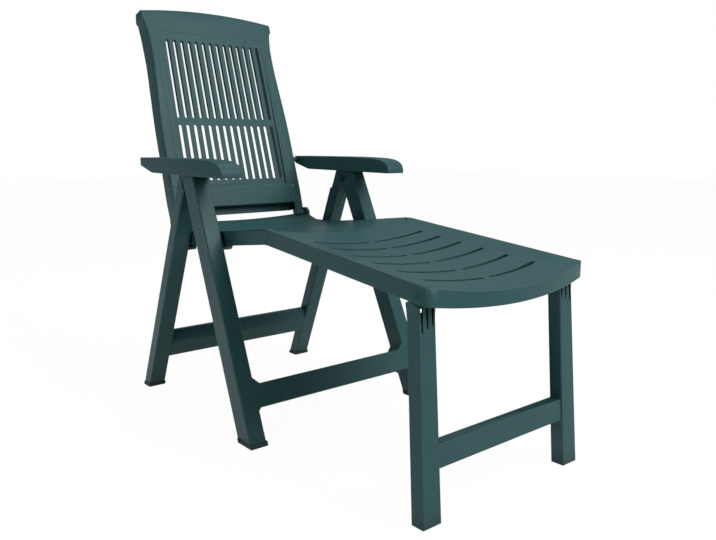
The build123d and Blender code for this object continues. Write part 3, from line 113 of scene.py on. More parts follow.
def mesh_from(points, faces, name):
    """A mesh from plain lists, its faces as they are listed."""
    mesh = bpy.data.meshes.new(name)
    mesh.from_pydata(points, [], faces)
    mesh.validate()
    return mesh


def bake(piece):
    """Turns the piece's modifiers into plain mesh."""
    bpy.context.view_layer.update()
    evaluated = piece.evaluated_get(bpy.context.evaluated_depsgraph_get())
    baked = bpy.data.meshes.new_from_object(evaluated)
    piece.modifiers.clear()
    piece.data = baked
    return piece


def thicken(piece, thickness):
    """Gives a sheet its wall, inwards from the shown side."""
    wall = piece.modifiers.new("wall", "SOLIDIFY")
    wall.thickness = thickness
    wall.offset = -1
    wall.use_even_offset = True
    wall.thickness_clamp = 1.0
    return bake(piece)


def shade_smooth(piece, angle=35):
    """Smooth shading that keeps real corners crisp."""
    piece.data.shade_smooth()
    piece.data.set_sharp_from_angle(angle=math.radians(angle))
    return piece


def through(places, values, at):
    """A smooth curve through measured points, read at one place."""
    if at <= places[0]:
        return values[0]
    if at >= places[-1]:
        return values[-1]
    index = max(i for i in range(len(places) - 1) if places[i] <= at)
    span = places[index + 1] - places[index]
    t = (at - places[index]) / span

    def slope(i):
        low, high = max(i - 1, 0), min(i + 1, len(places) - 1)
        return (values[high] - values[low]) / (places[high] - places[low]) * span

    a, b = values[index], values[index + 1]
    return (
        (2 * t**3 - 3 * t**2 + 1) * a
        + (t**3 - 2 * t**2 + t) * slope(index)
        + (3 * t**2 - 2 * t**3) * b
        + (t**3 - t**2) * slope(index + 1)
    )


# %% [markdown]
# ## The plastic
# The lounger is one colour of satin polypropylene: a dark bluish green with a
# very fine tooled grain. Real mouldings are never one flat tone. They carry
# faint flow marks, a soft haze of dust and paler, worn edges; here those paler
# edges also carry a painted highlight, and the crevices get painted shade. An
# image texture could show these, but small node groups fit every piece without
# one, and each plastic uses them with its own strength.

# %% Shader group helpers
def new_group(name, inputs, outputs):
    """An empty shader group with named sockets."""
    group = bpy.data.node_groups.new(name, "ShaderNodeTree")
    for title, kind, value in inputs:
        socket = group.interface.new_socket(title, in_out="INPUT", socket_type=kind)
        if value is not None:
            socket.default_value = value
    for title, kind in outputs:
        group.interface.new_socket(title, in_out="OUTPUT", socket_type=kind)
    return group, group.nodes.new("NodeGroupInput"), group.nodes.new("NodeGroupOutput")


def wire(tree, pairs):
    """Links output sockets to input sockets."""
    for source, target in pairs:
        tree.links.new(source, target)


def mix_colour(tree, blend="MIX"):
    """A colour mix node and its sockets: factor, first, second, result."""
    node = tree.nodes.new("ShaderNodeMix")
    node.data_type = "RGBA"
    node.blend_type = blend
    return node, node.inputs[0], node.inputs[6], node.inputs[7], node.outputs[2]


COLOUR = "NodeSocketColor"
FLOAT = "NodeSocketFloat"
VECTOR = "NodeSocketVector"

# %% [markdown]
# ### Tone
# As the plastic fills its mould it leaves broad, faint flow marks. One noise
# with a little distortion lifts the base colour towards a paler green.

# %% Tone group
tone, tone_in, tone_out = new_group(
    "moulded tone",
    [("Base", COLOUR, (0.04, 0.1, 0.1, 1)), ("Variation", FLOAT, 0.1), ("Scale", FLOAT, 9.0)],
    [("Colour", COLOUR), ("Mask", FLOAT)],
)
place = tone.nodes.new("ShaderNodeTexCoord")
flow = tone.nodes.new("ShaderNodeTexNoise")
flow.inputs["Detail"].default_value = 4.0
flow.inputs["Roughness"].default_value = 0.55
flow.inputs["Distortion"].default_value = 0.6
spread = tone.nodes.new("ShaderNodeMapRange")
spread.inputs["From Min"].default_value = 0.3
spread.inputs["From Max"].default_value = 0.7
lift = tone.nodes.new("ShaderNodeMath")
lift.operation = "MULTIPLY"
paler, paler_factor, paler_a, paler_b, paler_result = mix_colour(tone, "SCREEN")
paler_b.default_value = (0.30, 0.36, 0.36, 1)
wire(
    tone,
    [
        (place.outputs["Object"], flow.inputs["Vector"]),
        (tone_in.outputs["Scale"], flow.inputs["Scale"]),
        (flow.outputs["Fac"], spread.inputs["Value"]),
        (spread.outputs["Result"], lift.inputs[0]),
        (tone_in.outputs["Variation"], lift.inputs[1]),
        (lift.outputs["Value"], paler_factor),
        (tone_in.outputs["Base"], paler_a),
        (paler_result, tone_out.inputs["Colour"]),
        (spread.outputs["Result"], tone_out.inputs["Mask"]),
    ],
)

print("group", tone.name)

# %% [markdown]
# ### Grain
# The mould's surface is tooled, which gives the plastic its satin look, and a
# thin wall is never quite flat. A fine noise over a slow one makes a height
# for the bump. Modelling grain this small would only cost triangles.

# %% Grain group
grain, grain_in, grain_out = new_group(
    "tooled grain",
    [("Grain Scale", FLOAT, 900.0), ("Wave Scale", FLOAT, 14.0), ("Wave Share", FLOAT, 0.5)],
    [("Height", FLOAT)],
)
spot = grain.nodes.new("ShaderNodeTexCoord")
fine = grain.nodes.new("ShaderNodeTexNoise")
fine.inputs["Detail"].default_value = 2.0
wave = grain.nodes.new("ShaderNodeTexNoise")
wave.inputs["Detail"].default_value = 1.0
share = grain.nodes.new("ShaderNodeMath")
share.operation = "MULTIPLY_ADD"
wire(
    grain,
    [
        (spot.outputs["Object"], fine.inputs["Vector"]),
        (spot.outputs["Object"], wave.inputs["Vector"]),
        (grain_in.outputs["Grain Scale"], fine.inputs["Scale"]),
        (grain_in.outputs["Wave Scale"], wave.inputs["Scale"]),
        (wave.outputs["Fac"], share.inputs[0]),
        (grain_in.outputs["Wave Share"], share.inputs[1]),
        (fine.outputs["Fac"], share.inputs[2]),
        (share.outputs["Value"], grain_out.inputs["Height"]),
    ],
)

print("group", grain.name)

# %% [markdown]
# ### Worn edges and painted highlights
# Every corner of a moulding has a small radius that catches the light and
# wears paler. The bevel node gives a rounded normal without more triangles,
# and where it leaves the face's own normal there is an edge. The paler colour
# there is partly worn plastic and partly a painted highlight.

# %% Worn edge and painted highlight group
EDGE_RADIUS = 2.2 * MM
wear_and_highlight, wear_and_highlight_in, wear_and_highlight_out = new_group(
    "rubbed edges",
    [
        ("Colour", COLOUR, (0.04, 0.1, 0.1, 1)),
        ("Strength", FLOAT, 0.4),
        ("Edge Colour", COLOUR, (0.25, 0.36, 0.36, 1)),
    ],
    [("Colour", COLOUR), ("Mask", FLOAT), ("Normal", VECTOR)],
)
rounded = wear_and_highlight.nodes.new("ShaderNodeBevel")
rounded.samples = 6
rounded.inputs["Radius"].default_value = EDGE_RADIUS
surface = wear_and_highlight.nodes.new("ShaderNodeNewGeometry")
agree = wear_and_highlight.nodes.new("ShaderNodeVectorMath")
agree.operation = "DOT_PRODUCT"
edge = wear_and_highlight.nodes.new("ShaderNodeMapRange")
edge.inputs["From Min"].default_value = 0.995
edge.inputs["From Max"].default_value = 0.86
patchy = wear_and_highlight.nodes.new("ShaderNodeTexNoise")
patchy.inputs["Scale"].default_value = 38.0
patchy_place = wear_and_highlight.nodes.new("ShaderNodeTexCoord")
broken = wear_and_highlight.nodes.new("ShaderNodeMath")
broken.operation = "MULTIPLY"
weight = wear_and_highlight.nodes.new("ShaderNodeMath")
weight.operation = "MULTIPLY"
# The paler edge colour is partly worn plastic and partly a painted highlight.
wear_and_highlight_mix, wear_and_highlight_factor, wear_and_highlight_a, wear_and_highlight_b, wear_and_highlight_result = mix_colour(wear_and_highlight)
wire(
    wear_and_highlight,
    [
        (rounded.outputs["Normal"], agree.inputs[0]),
        (surface.outputs["Normal"], agree.inputs[1]),
        (agree.outputs["Value"], edge.inputs["Value"]),
        (patchy_place.outputs["Object"], patchy.inputs["Vector"]),
        (edge.outputs["Result"], broken.inputs[0]),
        (patchy.outputs["Fac"], broken.inputs[1]),
        (broken.outputs["Value"], weight.inputs[0]),
        (wear_and_highlight_in.outputs["Strength"], weight.inputs[1]),
        (weight.outputs["Value"], wear_and_highlight_factor),
        (wear_and_highlight_in.outputs["Colour"], wear_and_highlight_a),
        (wear_and_highlight_in.outputs["Edge Colour"], wear_and_highlight_b),
        (wear_and_highlight_result, wear_and_highlight_out.inputs["Colour"]),
        (edge.outputs["Result"], wear_and_highlight_out.inputs["Mask"]),
        (rounded.outputs["Normal"], wear_and_highlight_out.inputs["Normal"]),
    ],
)

print("group", wear_and_highlight.name)

# %% [markdown]
# ### Painted shade in crevices
# Inside the channels and slots hardly any light comes back, and in the
# photograph they are nearly black. Ambient occlusion finds those places, and
# the colour falls away there.

# %% Painted crevice shade group
crevice_shade, crevice_shade_in, crevice_shade_out = new_group(
    "painted crevice shade",
    [("Colour", COLOUR, (0.04, 0.1, 0.1, 1)), ("Reach", FLOAT, 0.05), ("Darkness", FLOAT, 0.7)],
    [("Colour", COLOUR), ("Mask", FLOAT)],
)
open_sky = crevice_shade.nodes.new("ShaderNodeAmbientOcclusion")
open_sky.samples = 6
closed_share = crevice_shade.nodes.new("ShaderNodeMapRange")
closed_share.inputs["From Min"].default_value = 0.85
closed_share.inputs["From Max"].default_value = 0.15
closed_amount = crevice_shade.nodes.new("ShaderNodeMath")
closed_amount.operation = "MULTIPLY"
# Painted shade: the colour falls towards near black where ambient occlusion finds a crevice.
shade, shade_factor, shade_a, shade_b, shade_result = mix_colour(crevice_shade)
shade_b.default_value = (0.002, 0.006, 0.007, 1)
wire(
    crevice_shade,
    [
        (crevice_shade_in.outputs["Reach"], open_sky.inputs["Distance"]),
        (open_sky.outputs["AO"], closed_share.inputs["Value"]),
        (closed_share.outputs["Result"], closed_amount.inputs[0]),
        (crevice_shade_in.outputs["Darkness"], closed_amount.inputs[1]),
        (closed_amount.outputs["Value"], shade_factor),
        (crevice_shade_in.outputs["Colour"], shade_a),
        (shade_result, crevice_shade_out.inputs["Colour"]),
        (closed_amount.outputs["Value"], crevice_shade_out.inputs["Mask"]),
    ],
)

print("group", crevice_shade.name)

# %% [markdown]
# ### Dust
# A little pale dust settles on what faces up. The upward part of the normal
# says where, and a noise breaks it into soft patches.

# %% Dust group
dust, dust_in, dust_out = new_group(
    "settled dust",
    [("Colour", COLOUR, (0.04, 0.1, 0.1, 1)), ("Amount", FLOAT, 0.1)],
    [("Colour", COLOUR), ("Mask", FLOAT)],
)
facing = dust.nodes.new("ShaderNodeNewGeometry")
upward = dust.nodes.new("ShaderNodeSeparateXYZ")
settle = dust.nodes.new("ShaderNodeMapRange")
settle.inputs["From Min"].default_value = 0.2
settle.inputs["From Max"].default_value = 1.0
cloud_place = dust.nodes.new("ShaderNodeTexCoord")
cloud = dust.nodes.new("ShaderNodeTexNoise")
cloud.inputs["Scale"].default_value = 22.0
cloud.inputs["Detail"].default_value = 5.0
thin = dust.nodes.new("ShaderNodeMath")
thin.operation = "MULTIPLY"
amount = dust.nodes.new("ShaderNodeMath")
amount.operation = "MULTIPLY"
haze, haze_factor, haze_a, haze_b, haze_result = mix_colour(dust)
haze_b.default_value = (0.42, 0.45, 0.44, 1)
wire(
    dust,
    [
        (facing.outputs["Normal"], upward.inputs["Vector"]),
        (upward.outputs["Z"], settle.inputs["Value"]),
        (cloud_place.outputs["Object"], cloud.inputs["Vector"]),
        (settle.outputs["Result"], thin.inputs[0]),
        (cloud.outputs["Fac"], thin.inputs[1]),
        (thin.outputs["Value"], amount.inputs[0]),
        (dust_in.outputs["Amount"], amount.inputs[1]),
        (amount.outputs["Value"], haze_factor),
        (dust_in.outputs["Colour"], haze_a),
        (haze_result, dust_out.inputs["Colour"]),
        (thin.outputs["Value"], dust_out.inputs["Mask"]),
    ],
)

print("group", dust.name)


# %% [markdown]
# ### Four plastics
# The panels, the leg frames, the foot caps and the pins are moulded in one
# colour but finished a little differently. One function builds a material
# from the groups, so the four differ only in their numbers.

# %% Plastic materials
def place_group(tree, group, **values):
    """Puts a shader group in a material with its own values."""
    node = tree.nodes.new("ShaderNodeGroup")
    node.node_tree = group
    for title, value in values.items():
        node.inputs[title.replace("_", " ")].default_value = value
    return node


def plastic(name, base, roughness, variation, grain_depth, wear_and_highlight_strength, dust_amount):
    """Satin moulded plastic with its own tone, grain, worn edges with a painted highlight, painted
    crevice shade and dust.
    """
    material = bpy.data.materials.new(name)
    material.use_nodes = True
    tree = material.node_tree
    shader = tree.nodes["Principled BSDF"]
    shader.inputs["Specular IOR Level"].default_value = 0.18
    shader.inputs["IOR"].default_value = 1.49
    base_tone = place_group(tree, tone, Base=(*base, 1), Variation=variation, Scale=7.0)
    # Edges get a paler colour: partly worn plastic, partly a painted highlight.
    edges = place_group(tree, wear_and_highlight, Strength=wear_and_highlight_strength)
    haze_node = place_group(tree, dust, Amount=dust_amount)
    # Painted shade in the channels, slots and other crevices.
    painted_crevice_shade = place_group(tree, crevice_shade, Reach=0.06, Darkness=0.8)
    tooling = place_group(tree, grain)
    bump = tree.nodes.new("ShaderNodeBump")
    bump.inputs["Strength"].default_value = 0.35
    bump.inputs["Distance"].default_value = grain_depth
    gloss = tree.nodes.new("ShaderNodeMapRange")
    gloss.inputs["To Min"].default_value = roughness - 0.05
    gloss.inputs["To Max"].default_value = roughness + 0.09
    wire(
        tree,
        [
            (base_tone.outputs["Colour"], edges.inputs["Colour"]),
            (edges.outputs["Colour"], haze_node.inputs["Colour"]),
            (haze_node.outputs["Colour"], painted_crevice_shade.inputs["Colour"]),
            (painted_crevice_shade.outputs["Colour"], shader.inputs["Base Color"]),
            (base_tone.outputs["Mask"], gloss.inputs["Value"]),
            (gloss.outputs["Result"], shader.inputs["Roughness"]),
            (edges.outputs["Normal"], bump.inputs["Normal"]),
            (tooling.outputs["Height"], bump.inputs["Height"]),
            (bump.outputs["Normal"], shader.inputs["Normal"]),
        ],
    )
    return material


PANEL_GREEN = (0.020, 0.078, 0.083)
FRAME_GREEN = (0.020, 0.077, 0.081)
CAP_GREEN = (0.014, 0.050, 0.053)
# Roughness, variation, depth of the grain, worn edges with painted highlight, and dust
panel_plastic = plastic("satin green panel plastic", PANEL_GREEN, 0.40, 0.04, 0.12 * MM, 0.45, 0.02)
frame_plastic = plastic("satin green frame plastic", FRAME_GREEN, 0.38, 0.04, 0.10 * MM, 0.50, 0.02)
cap_plastic = plastic("dull green cap plastic", CAP_GREEN, 0.55, 0.07, 0.20 * MM, 0.16, 0.03)
pin_plastic = plastic("smooth green pin plastic", CAP_GREEN, 0.35, 0.04, 0.08 * MM, 0.16, 0.02)
print("materials", [m.name for m in bpy.data.materials])


# %% [markdown]
# ## A tree for rows of slots
# The real back is pierced by two rows of upright slots, and each slot has a
# raised edge behind it that stiffens the slats. The slots could be cut one by
# one. A geometry tree is kinder: it stands a cutter and an edge on each point
# of a line, turns them a little so that the row fans out, and cuts them all at
# once. Its sizes are named inputs, so one tree serves both rows.

# %% Geometry tree helpers
INT = "NodeSocketInt"
OBJECT = "NodeSocketObject"
MATERIAL = "NodeSocketMaterial"
GEOMETRY = "NodeSocketGeometry"


def new_tree(name, inputs):
    """An empty geometry tree with named inputs."""
    tree = bpy.data.node_groups.new(name, "GeometryNodeTree")
    tree.interface.new_socket("Geometry", in_out="INPUT", socket_type=GEOMETRY)
    for title, kind, value in inputs:
        socket = tree.interface.new_socket(title, in_out="INPUT", socket_type=kind)
        if value is not None:
            socket.default_value = value
    tree.interface.new_socket("Geometry", in_out="OUTPUT", socket_type=GEOMETRY)
    return tree, tree.nodes.new("NodeGroupInput"), tree.nodes.new("NodeGroupOutput")


def maths(tree, operation, first, second):
    """One math node; each value is a socket or a number."""
    node = tree.nodes.new("ShaderNodeMath")
    node.operation = operation
    for socket, value in zip(node.inputs, (first, second)):
        if isinstance(value, (int, float)):
            socket.default_value = value
        else:
            tree.links.new(value, socket)
    return node.outputs["Value"]


def run_tree(piece, tree, **values):
    """Runs a tree on a piece with its own sizes and keeps the plain mesh."""
    modifier = piece.modifiers.new(tree.name, "NODES")
    modifier.node_group = tree
    for item in tree.interface.items_tree:
        if item.item_type == "SOCKET" and item.in_out == "INPUT" and item.name in values:
            modifier[item.identifier] = values[item.name]
    piece.update_tag()
    return bake(piece)


# %% Slot tree: the turn of each slot
slot_tree, slot_in, slot_out = new_tree(
    "slotted rows",
    [
        ("Cutter", OBJECT, None),
        ("Edge", OBJECT, None),
        ("Count", INT, 1),
        ("Start", VECTOR, (0, 0, 0)),
        ("Step", VECTOR, (0, 0, 0)),
        ("Fan", FLOAT, 0.0),
        ("Plastic", MATERIAL, None),
    ],
)
number = slot_tree.nodes.new("GeometryNodeInputIndex").outputs["Index"]
last = maths(slot_tree, "SUBTRACT", slot_in.outputs["Count"], 1)
middle = maths(slot_tree, "DIVIDE", last, 2)
from_middle = maths(slot_tree, "SUBTRACT", number, middle)
turn = maths(slot_tree, "MULTIPLY", from_middle, slot_in.outputs["Fan"])
turn_vector = slot_tree.nodes.new("ShaderNodeCombineXYZ")
turn_rotation = slot_tree.nodes.new("FunctionNodeEulerToRotation")

# %% Slot tree: stand, cut and join
slot_line = slot_tree.nodes.new("GeometryNodeMeshLine")
slot_line.mode = "OFFSET"
cut = slot_tree.nodes.new("GeometryNodeMeshBoolean")
cut.operation = "DIFFERENCE"
cut.solver = "EXACT"
everything = slot_tree.nodes.new("GeometryNodeJoinGeometry")
slot_real = slot_tree.nodes.new("GeometryNodeRealizeInstances")
slot_finish = slot_tree.nodes.new("GeometryNodeSetMaterial")
for title, target in (("Cutter", cut.inputs["Mesh 2"]), ("Edge", everything.inputs["Geometry"])):
    shape = slot_tree.nodes.new("GeometryNodeObjectInfo")
    stand = slot_tree.nodes.new("GeometryNodeInstanceOnPoints")
    real = slot_tree.nodes.new("GeometryNodeRealizeInstances")
    wire(
        slot_tree,
        [
            (slot_in.outputs[title], shape.inputs["Object"]),
            (slot_line.outputs["Mesh"], stand.inputs["Points"]),
            (shape.outputs["Geometry"], stand.inputs["Instance"]),
            (turn_rotation.outputs["Rotation"], stand.inputs["Rotation"]),
            (stand.outputs["Instances"], real.inputs["Geometry"]),
            (real.outputs["Geometry"], target),
        ],
    )
wire(
    slot_tree,
    [
        (slot_in.outputs["Count"], slot_line.inputs["Count"]),
        (slot_in.outputs["Start"], slot_line.inputs["Start Location"]),
        (slot_in.outputs["Step"], slot_line.inputs["Offset"]),
        (turn, turn_vector.inputs["Z"]),
        (turn_vector.outputs["Vector"], turn_rotation.inputs["Euler"]),
        (slot_in.outputs["Geometry"], cut.inputs["Mesh 1"]),
        (cut.outputs["Mesh"], everything.inputs["Geometry"]),
        (everything.outputs["Geometry"], slot_real.inputs["Geometry"]),
        (slot_real.outputs["Geometry"], slot_finish.inputs["Geometry"]),
        (slot_in.outputs["Plastic"], slot_finish.inputs["Material"]),
        (slot_finish.outputs["Geometry"], slot_out.inputs["Geometry"]),
    ],
)
print("tree", slot_tree.name, len(slot_tree.nodes), "nodes")

# %% [markdown]
# ## A tree for rows of ribs
# Thin ribs stiffen the hollow side of every moulding, and they repeat at equal
# steps. An array modifier could do that. A second tree does the same with
# named inputs, and joins the ribs to the piece in one go.

# %% Rib tree
rib_tree, rib_in, rib_out = new_tree(
    "rib row",
    [
        ("Rib", OBJECT, None),
        ("Count", INT, 2),
        ("Start", VECTOR, (0, 0, 0)),
        ("Step", VECTOR, (0, 0, 0)),
        ("Plastic", MATERIAL, None),
    ],
)
rib_line = rib_tree.nodes.new("GeometryNodeMeshLine")
rib_line.mode = "OFFSET"
rib_shape = rib_tree.nodes.new("GeometryNodeObjectInfo")
rib_stand = rib_tree.nodes.new("GeometryNodeInstanceOnPoints")
rib_join = rib_tree.nodes.new("GeometryNodeJoinGeometry")
rib_real = rib_tree.nodes.new("GeometryNodeRealizeInstances")
rib_finish = rib_tree.nodes.new("GeometryNodeSetMaterial")
wire(
    rib_tree,
    [
        (rib_in.outputs["Count"], rib_line.inputs["Count"]),
        (rib_in.outputs["Start"], rib_line.inputs["Start Location"]),
        (rib_in.outputs["Step"], rib_line.inputs["Offset"]),
        (rib_in.outputs["Rib"], rib_shape.inputs["Object"]),
        (rib_line.outputs["Mesh"], rib_stand.inputs["Points"]),
        (rib_shape.outputs["Geometry"], rib_stand.inputs["Instance"]),
        (rib_in.outputs["Geometry"], rib_join.inputs["Geometry"]),
        (rib_stand.outputs["Instances"], rib_join.inputs["Geometry"]),
        (rib_join.outputs["Geometry"], rib_real.inputs["Geometry"]),
        (rib_real.outputs["Geometry"], rib_finish.inputs["Geometry"]),
        (rib_in.outputs["Plastic"], rib_finish.inputs["Material"]),
        (rib_finish.outputs["Geometry"], rib_out.inputs["Geometry"]),
    ],
)
print("tree", rib_tree.name, len(rib_tree.nodes), "nodes")


# %% [markdown]
# ## Prisms and rings
# Bars, lugs, ribs and racks are all one outline carried in a straight line, so
# one prism helper makes them. The raised edge round a slot is a ring between
# two matching loops. Outlines are written in millimetres, and a small function
# says which way each of them stands.

# %% Solid helpers
def solid(name, points, faces):
    """A closed mesh with its faces turned outwards."""
    shell = bmesh.new()
    corners = [shell.verts.new(p) for p in points]
    for face in faces:
        shell.faces.new([corners[i] for i in face])
    bmesh.ops.recalc_face_normals(shell, faces=shell.faces)
    mesh = bpy.data.meshes.new(name)
    shell.to_mesh(mesh)
    shell.free()
    return link_mesh(mesh, name)


def prism(name, outline, at, low, high):
    """An outline carried from low to high; at(a, b, t) says where a point is."""
    count = len(outline)
    points = [Vector(at(a, b, low)) * MM for a, b in outline]
    points += [Vector(at(a, b, high)) * MM for a, b in outline]
    faces = [tuple(range(count)), tuple(range(count, 2 * count))]
    faces += [(i, (i + 1) % count, count + (i + 1) % count, count + i) for i in range(count)]
    return solid(name, points, faces)


def arc(a, b, radius, angles):
    """Outline points on a circle round (a, b), one for each angle in degrees."""
    turns = [math.radians(angle) for angle in angles]
    return [(a + radius * math.cos(t), b + radius * math.sin(t)) for t in turns]


FULL_TURN = range(0, 360, 15)


def merge(piece, *others):
    """Takes other pieces into this one."""
    whole = bmesh.new()
    for part in (piece, *others):
        whole.from_mesh(part.data)
    whole.to_mesh(piece.data)
    whole.free()
    drop_helpers(*others)


def drop_helpers(*helpers):
    """Removes shapes that only served another piece."""
    for helper in helpers:
        bpy.data.objects.remove(helper)


# %% Slot outline and its edge
def stadium(half, radius, steps=6, cuts=8):
    """A slot's outline: two straight sides and two round ends."""
    loop = []
    for side in (1, -1):
        for i in range(steps + 1):
            angle = math.radians(-90 + 180 * i / steps)
            loop.append((side * (half + radius * math.cos(angle)), side * radius * math.sin(angle)))
        for i in range(1, cuts):
            loop.append((side * half * (1 - 2 * i / cuts), side * radius))
    return loop


def ring(name, inner, outer, top, base, at):
    """A wall between two matching loops, from top(a, b) down to base."""
    count = len(inner)
    points = []
    for loop in (inner, outer):
        points += [Vector(at(a, b, top(a, b))) * MM for a, b in loop]
        points += [Vector(at(a, b, base)) * MM for a, b in loop]
    faces = []
    for i in range(count):
        j = (i + 1) % count
        faces.append((i, j, count + j, count + i))
        faces.append((2 * count + i, 2 * count + j, 3 * count + j, 3 * count + i))
        faces.append((i, j, 2 * count + j, 2 * count + i))
        faces.append((count + i, count + j, 3 * count + j, 3 * count + i))
    return solid(name, points, faces)


# %% [markdown]
# ## Sheets with a turned rim
# A moulded panel is a thin sheet that turns over a small radius into a skirt.
# It could be a box with bevelled edges. Here it is one grid whose outermost
# columns and rows run over the rim and down the skirt, which keeps the curve
# even along a bowed edge. The corners close when points that meet are merged.

# %% Sheet helpers
WELD = 0.005 * MM


def rim_levels(radius, turns=4, falls=(0.34, 0.67, 1.0)):
    """Over the rim: (inset, drop, share of the skirt below the rim)."""
    levels = []
    for i in range(1, turns + 1):
        angle = math.radians(90 * i / turns)
        levels.append((radius * (1 - math.sin(angle)), radius * (1 - math.cos(angle)), 0))
    return levels + [(0, radius, share) for share in falls]


def sheet(name, columns, rows, point):
    """One grid over columns and rows, merged where rim corners meet."""
    points = [Vector(point(column, row)) * MM for row in rows for column in columns]
    wide = len(columns)
    faces = [
        (r * wide + c, r * wide + c + 1, (r + 1) * wide + c + 1, (r + 1) * wide + c)
        for r in range(len(rows) - 1)
        for c in range(wide - 1)
    ]
    mesh = bpy.data.meshes.new(name)
    mesh.from_pydata(points, [], faces)
    shell = bmesh.new()
    shell.from_mesh(mesh)
    bmesh.ops.remove_doubles(shell, verts=shell.verts, dist=WELD)
    bmesh.ops.dissolve_degenerate(shell, edges=shell.edges, dist=WELD)
    shell.to_mesh(mesh)
    shell.free()
    return link_mesh(mesh, name)


def stand_for(piece, node, material):
    """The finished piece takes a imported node's place and rides its body."""
    piece.data.materials.clear()
    piece.data.materials.append(material)
    shade_smooth(piece, 30)
    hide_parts(node)
    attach(piece, frame["nodes"][node]["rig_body"])
    print(node, len(piece.data.polygons), "faces")


# %% [markdown]
# ## Backrest
# The back is a tall moulded shell. Its rims are deepest at shoulder height,
# and its middle is a shallow recess that holds the slats. It could be sculpted
# in place, but it is far easier to make it flat, in the back's own plane,
# where every size is plain, and to lean it into place at the end.

# %% Backrest sizes
BACK_LENGTH = 638.4
BACK_HALF = 217.6
BACK_BASE = 18.0
BACK_STEP = 38.8
LUG_INNER = 188.0
SHEET = 3.2
WALL = 3.6
RIM = 3.4
back_rises = (0, 0.08, 0.235, 0.418, 0.557, 0.718, 0.798, 0.869, 0.918, 0.974)
back_widths = (0.998, 1.007, 1.003, 0.995, 0.973, 0.943, 0.939, 0.948, 0.973, 1.003)
rim_rises = (0, 0.13, 0.345, 0.54, 0.7, 0.82, 0.89, 0.945, 1.0)
rim_depths = (48.4, 45.9, 44.0, 47.3, 52.0, 54.6, 50.6, 41.1, 27.8)
TOP_FALL = 16.1
TOP_HALF = 218.3


def back_half(v):
    """Half the back's width at one height."""
    return BACK_HALF * through(back_rises, back_widths, (v - BACK_BASE) / (BACK_LENGTH - BACK_BASE))


def back_depth(v):
    """How deep the rims are at one height."""
    return through(rim_rises, rim_depths, (v - BACK_BASE) / (BACK_LENGTH - BACK_BASE))


def back_top(x):
    """The bowed top edge."""
    return BACK_LENGTH - TOP_FALL * (x / TOP_HALF) ** 2


print("half width at the shoulders", round(back_half(500), 1), "mm")

# %% Backrest recess
RECESS_HALF = 171.5
RECESS_START = 96
RECESS_FLOOR = 102.5
RECESS_END = 565.5
RECESS_DEEP = 6.5
RECESS_RISE = 5.9
RECESS_RUN = 463.5


def recess_depth(x, v):
    """How far the slotted middle lies behind the rims."""
    if abs(x) > RECESS_HALF or not RECESS_START <= v <= RECESS_END:
        return 0
    if v < RECESS_FLOOR:
        return v - RECESS_START
    return RECESS_DEEP - RECESS_RISE * (v - RECESS_FLOOR) / RECESS_RUN


print("recess", RECESS_DEEP, "mm deep at the foot")

# %% Backrest grid
STEP_EDGE = LUG_INNER - 0.6
STEP_SIDE = LUG_INNER - 0.5
LAST = LUG_INNER - 0.4
CROWN = 590
CROWN_WIDTH_AT = 630
CURL = 2
CURL_LENGTH = 36


def back_point(column, row):
    """One point of the sheet; a column or row is (kind, place, rim level)."""
    kind, place, level = column
    row_kind, height, row_level = row
    inset, drop, skirt = level or (RIM, 0, 0)
    row_inset, row_drop, row_skirt = row_level or (RIM, 0, 0)
    half = back_half({"at": height, "low": BACK_BASE, "top": CROWN_WIDTH_AT}[row_kind])
    if kind == "at":
        x = place
    elif kind == "side":
        x = math.copysign(LAST + abs(place) * (half - RIM - LAST), place)
    else:
        x = math.copysign(half - inset, place)
    if row_kind == "at":
        v = height
    elif row_kind == "low":
        v = BACK_BASE if abs(x) > STEP_SIDE else BACK_STEP
    else:
        v = CROWN + height * (back_top(x) - row_inset - CROWN)
    fall = max(
        drop + skirt * (back_depth(v) - RIM) if level else 0,
        row_drop + row_skirt * (back_depth(v) - RIM) if row_level else 0,
    )
    curl = CURL * max(0, (v - (BACK_LENGTH - CURL_LENGTH)) / CURL_LENGTH) ** 2
    return (x, v, -recess_depth(x, v) - curl - fall)


# %% Backrest sheet
levels = rim_levels(RIM)
right_half = [("at", x, None) for x in (30, 60, 90, 120, 150, 171, 172, 180, STEP_EDGE, LAST)]
right_half += [("side", 0.5, None), ("side", 1.0, None)]
right_half += [("rim", 1, level) for level in levels]
left_half = [(kind, -place, level) for kind, place, level in reversed(right_half)]
back_columns = left_half + [("at", 0, None)] + right_half
SLAT_ROWS = 16
SLAT_RUN = 462.5
back_rows = [("low", 0, None)]
back_rows += [("at", v, None) for v in (46, 62, 80, 95.9, RECESS_START, RECESS_FLOOR)]
back_rows += [("at", RECESS_FLOOR + SLAT_RUN * i / SLAT_ROWS, None) for i in range(1, SLAT_ROWS + 1)]
back_rows += [("at", v, None) for v in (565.6, 578, CROWN)]
back_rows += [("top", share, None) for share in (0.3, 0.6, 0.85, 1.0)]
back_rows += [("top", 1.0, level) for level in levels]
back = thicken(sheet("backrest_shell", back_columns, back_rows, back_point), SHEET * MM)
print("backrest sheet", len(back.data.polygons), "faces")


# %% [markdown]
# ### Slots
# Fourteen slots stand in each of the two rows, and they fan out a little
# towards the seat. Cutting them with the slot tree gives straight, clean ends,
# which an alpha mask on a flat sheet would not.

# %% Backrest slots
def upright(a, b, t):
    """An outline that runs up the back, in the back's own plane."""
    return (-b, a, t)


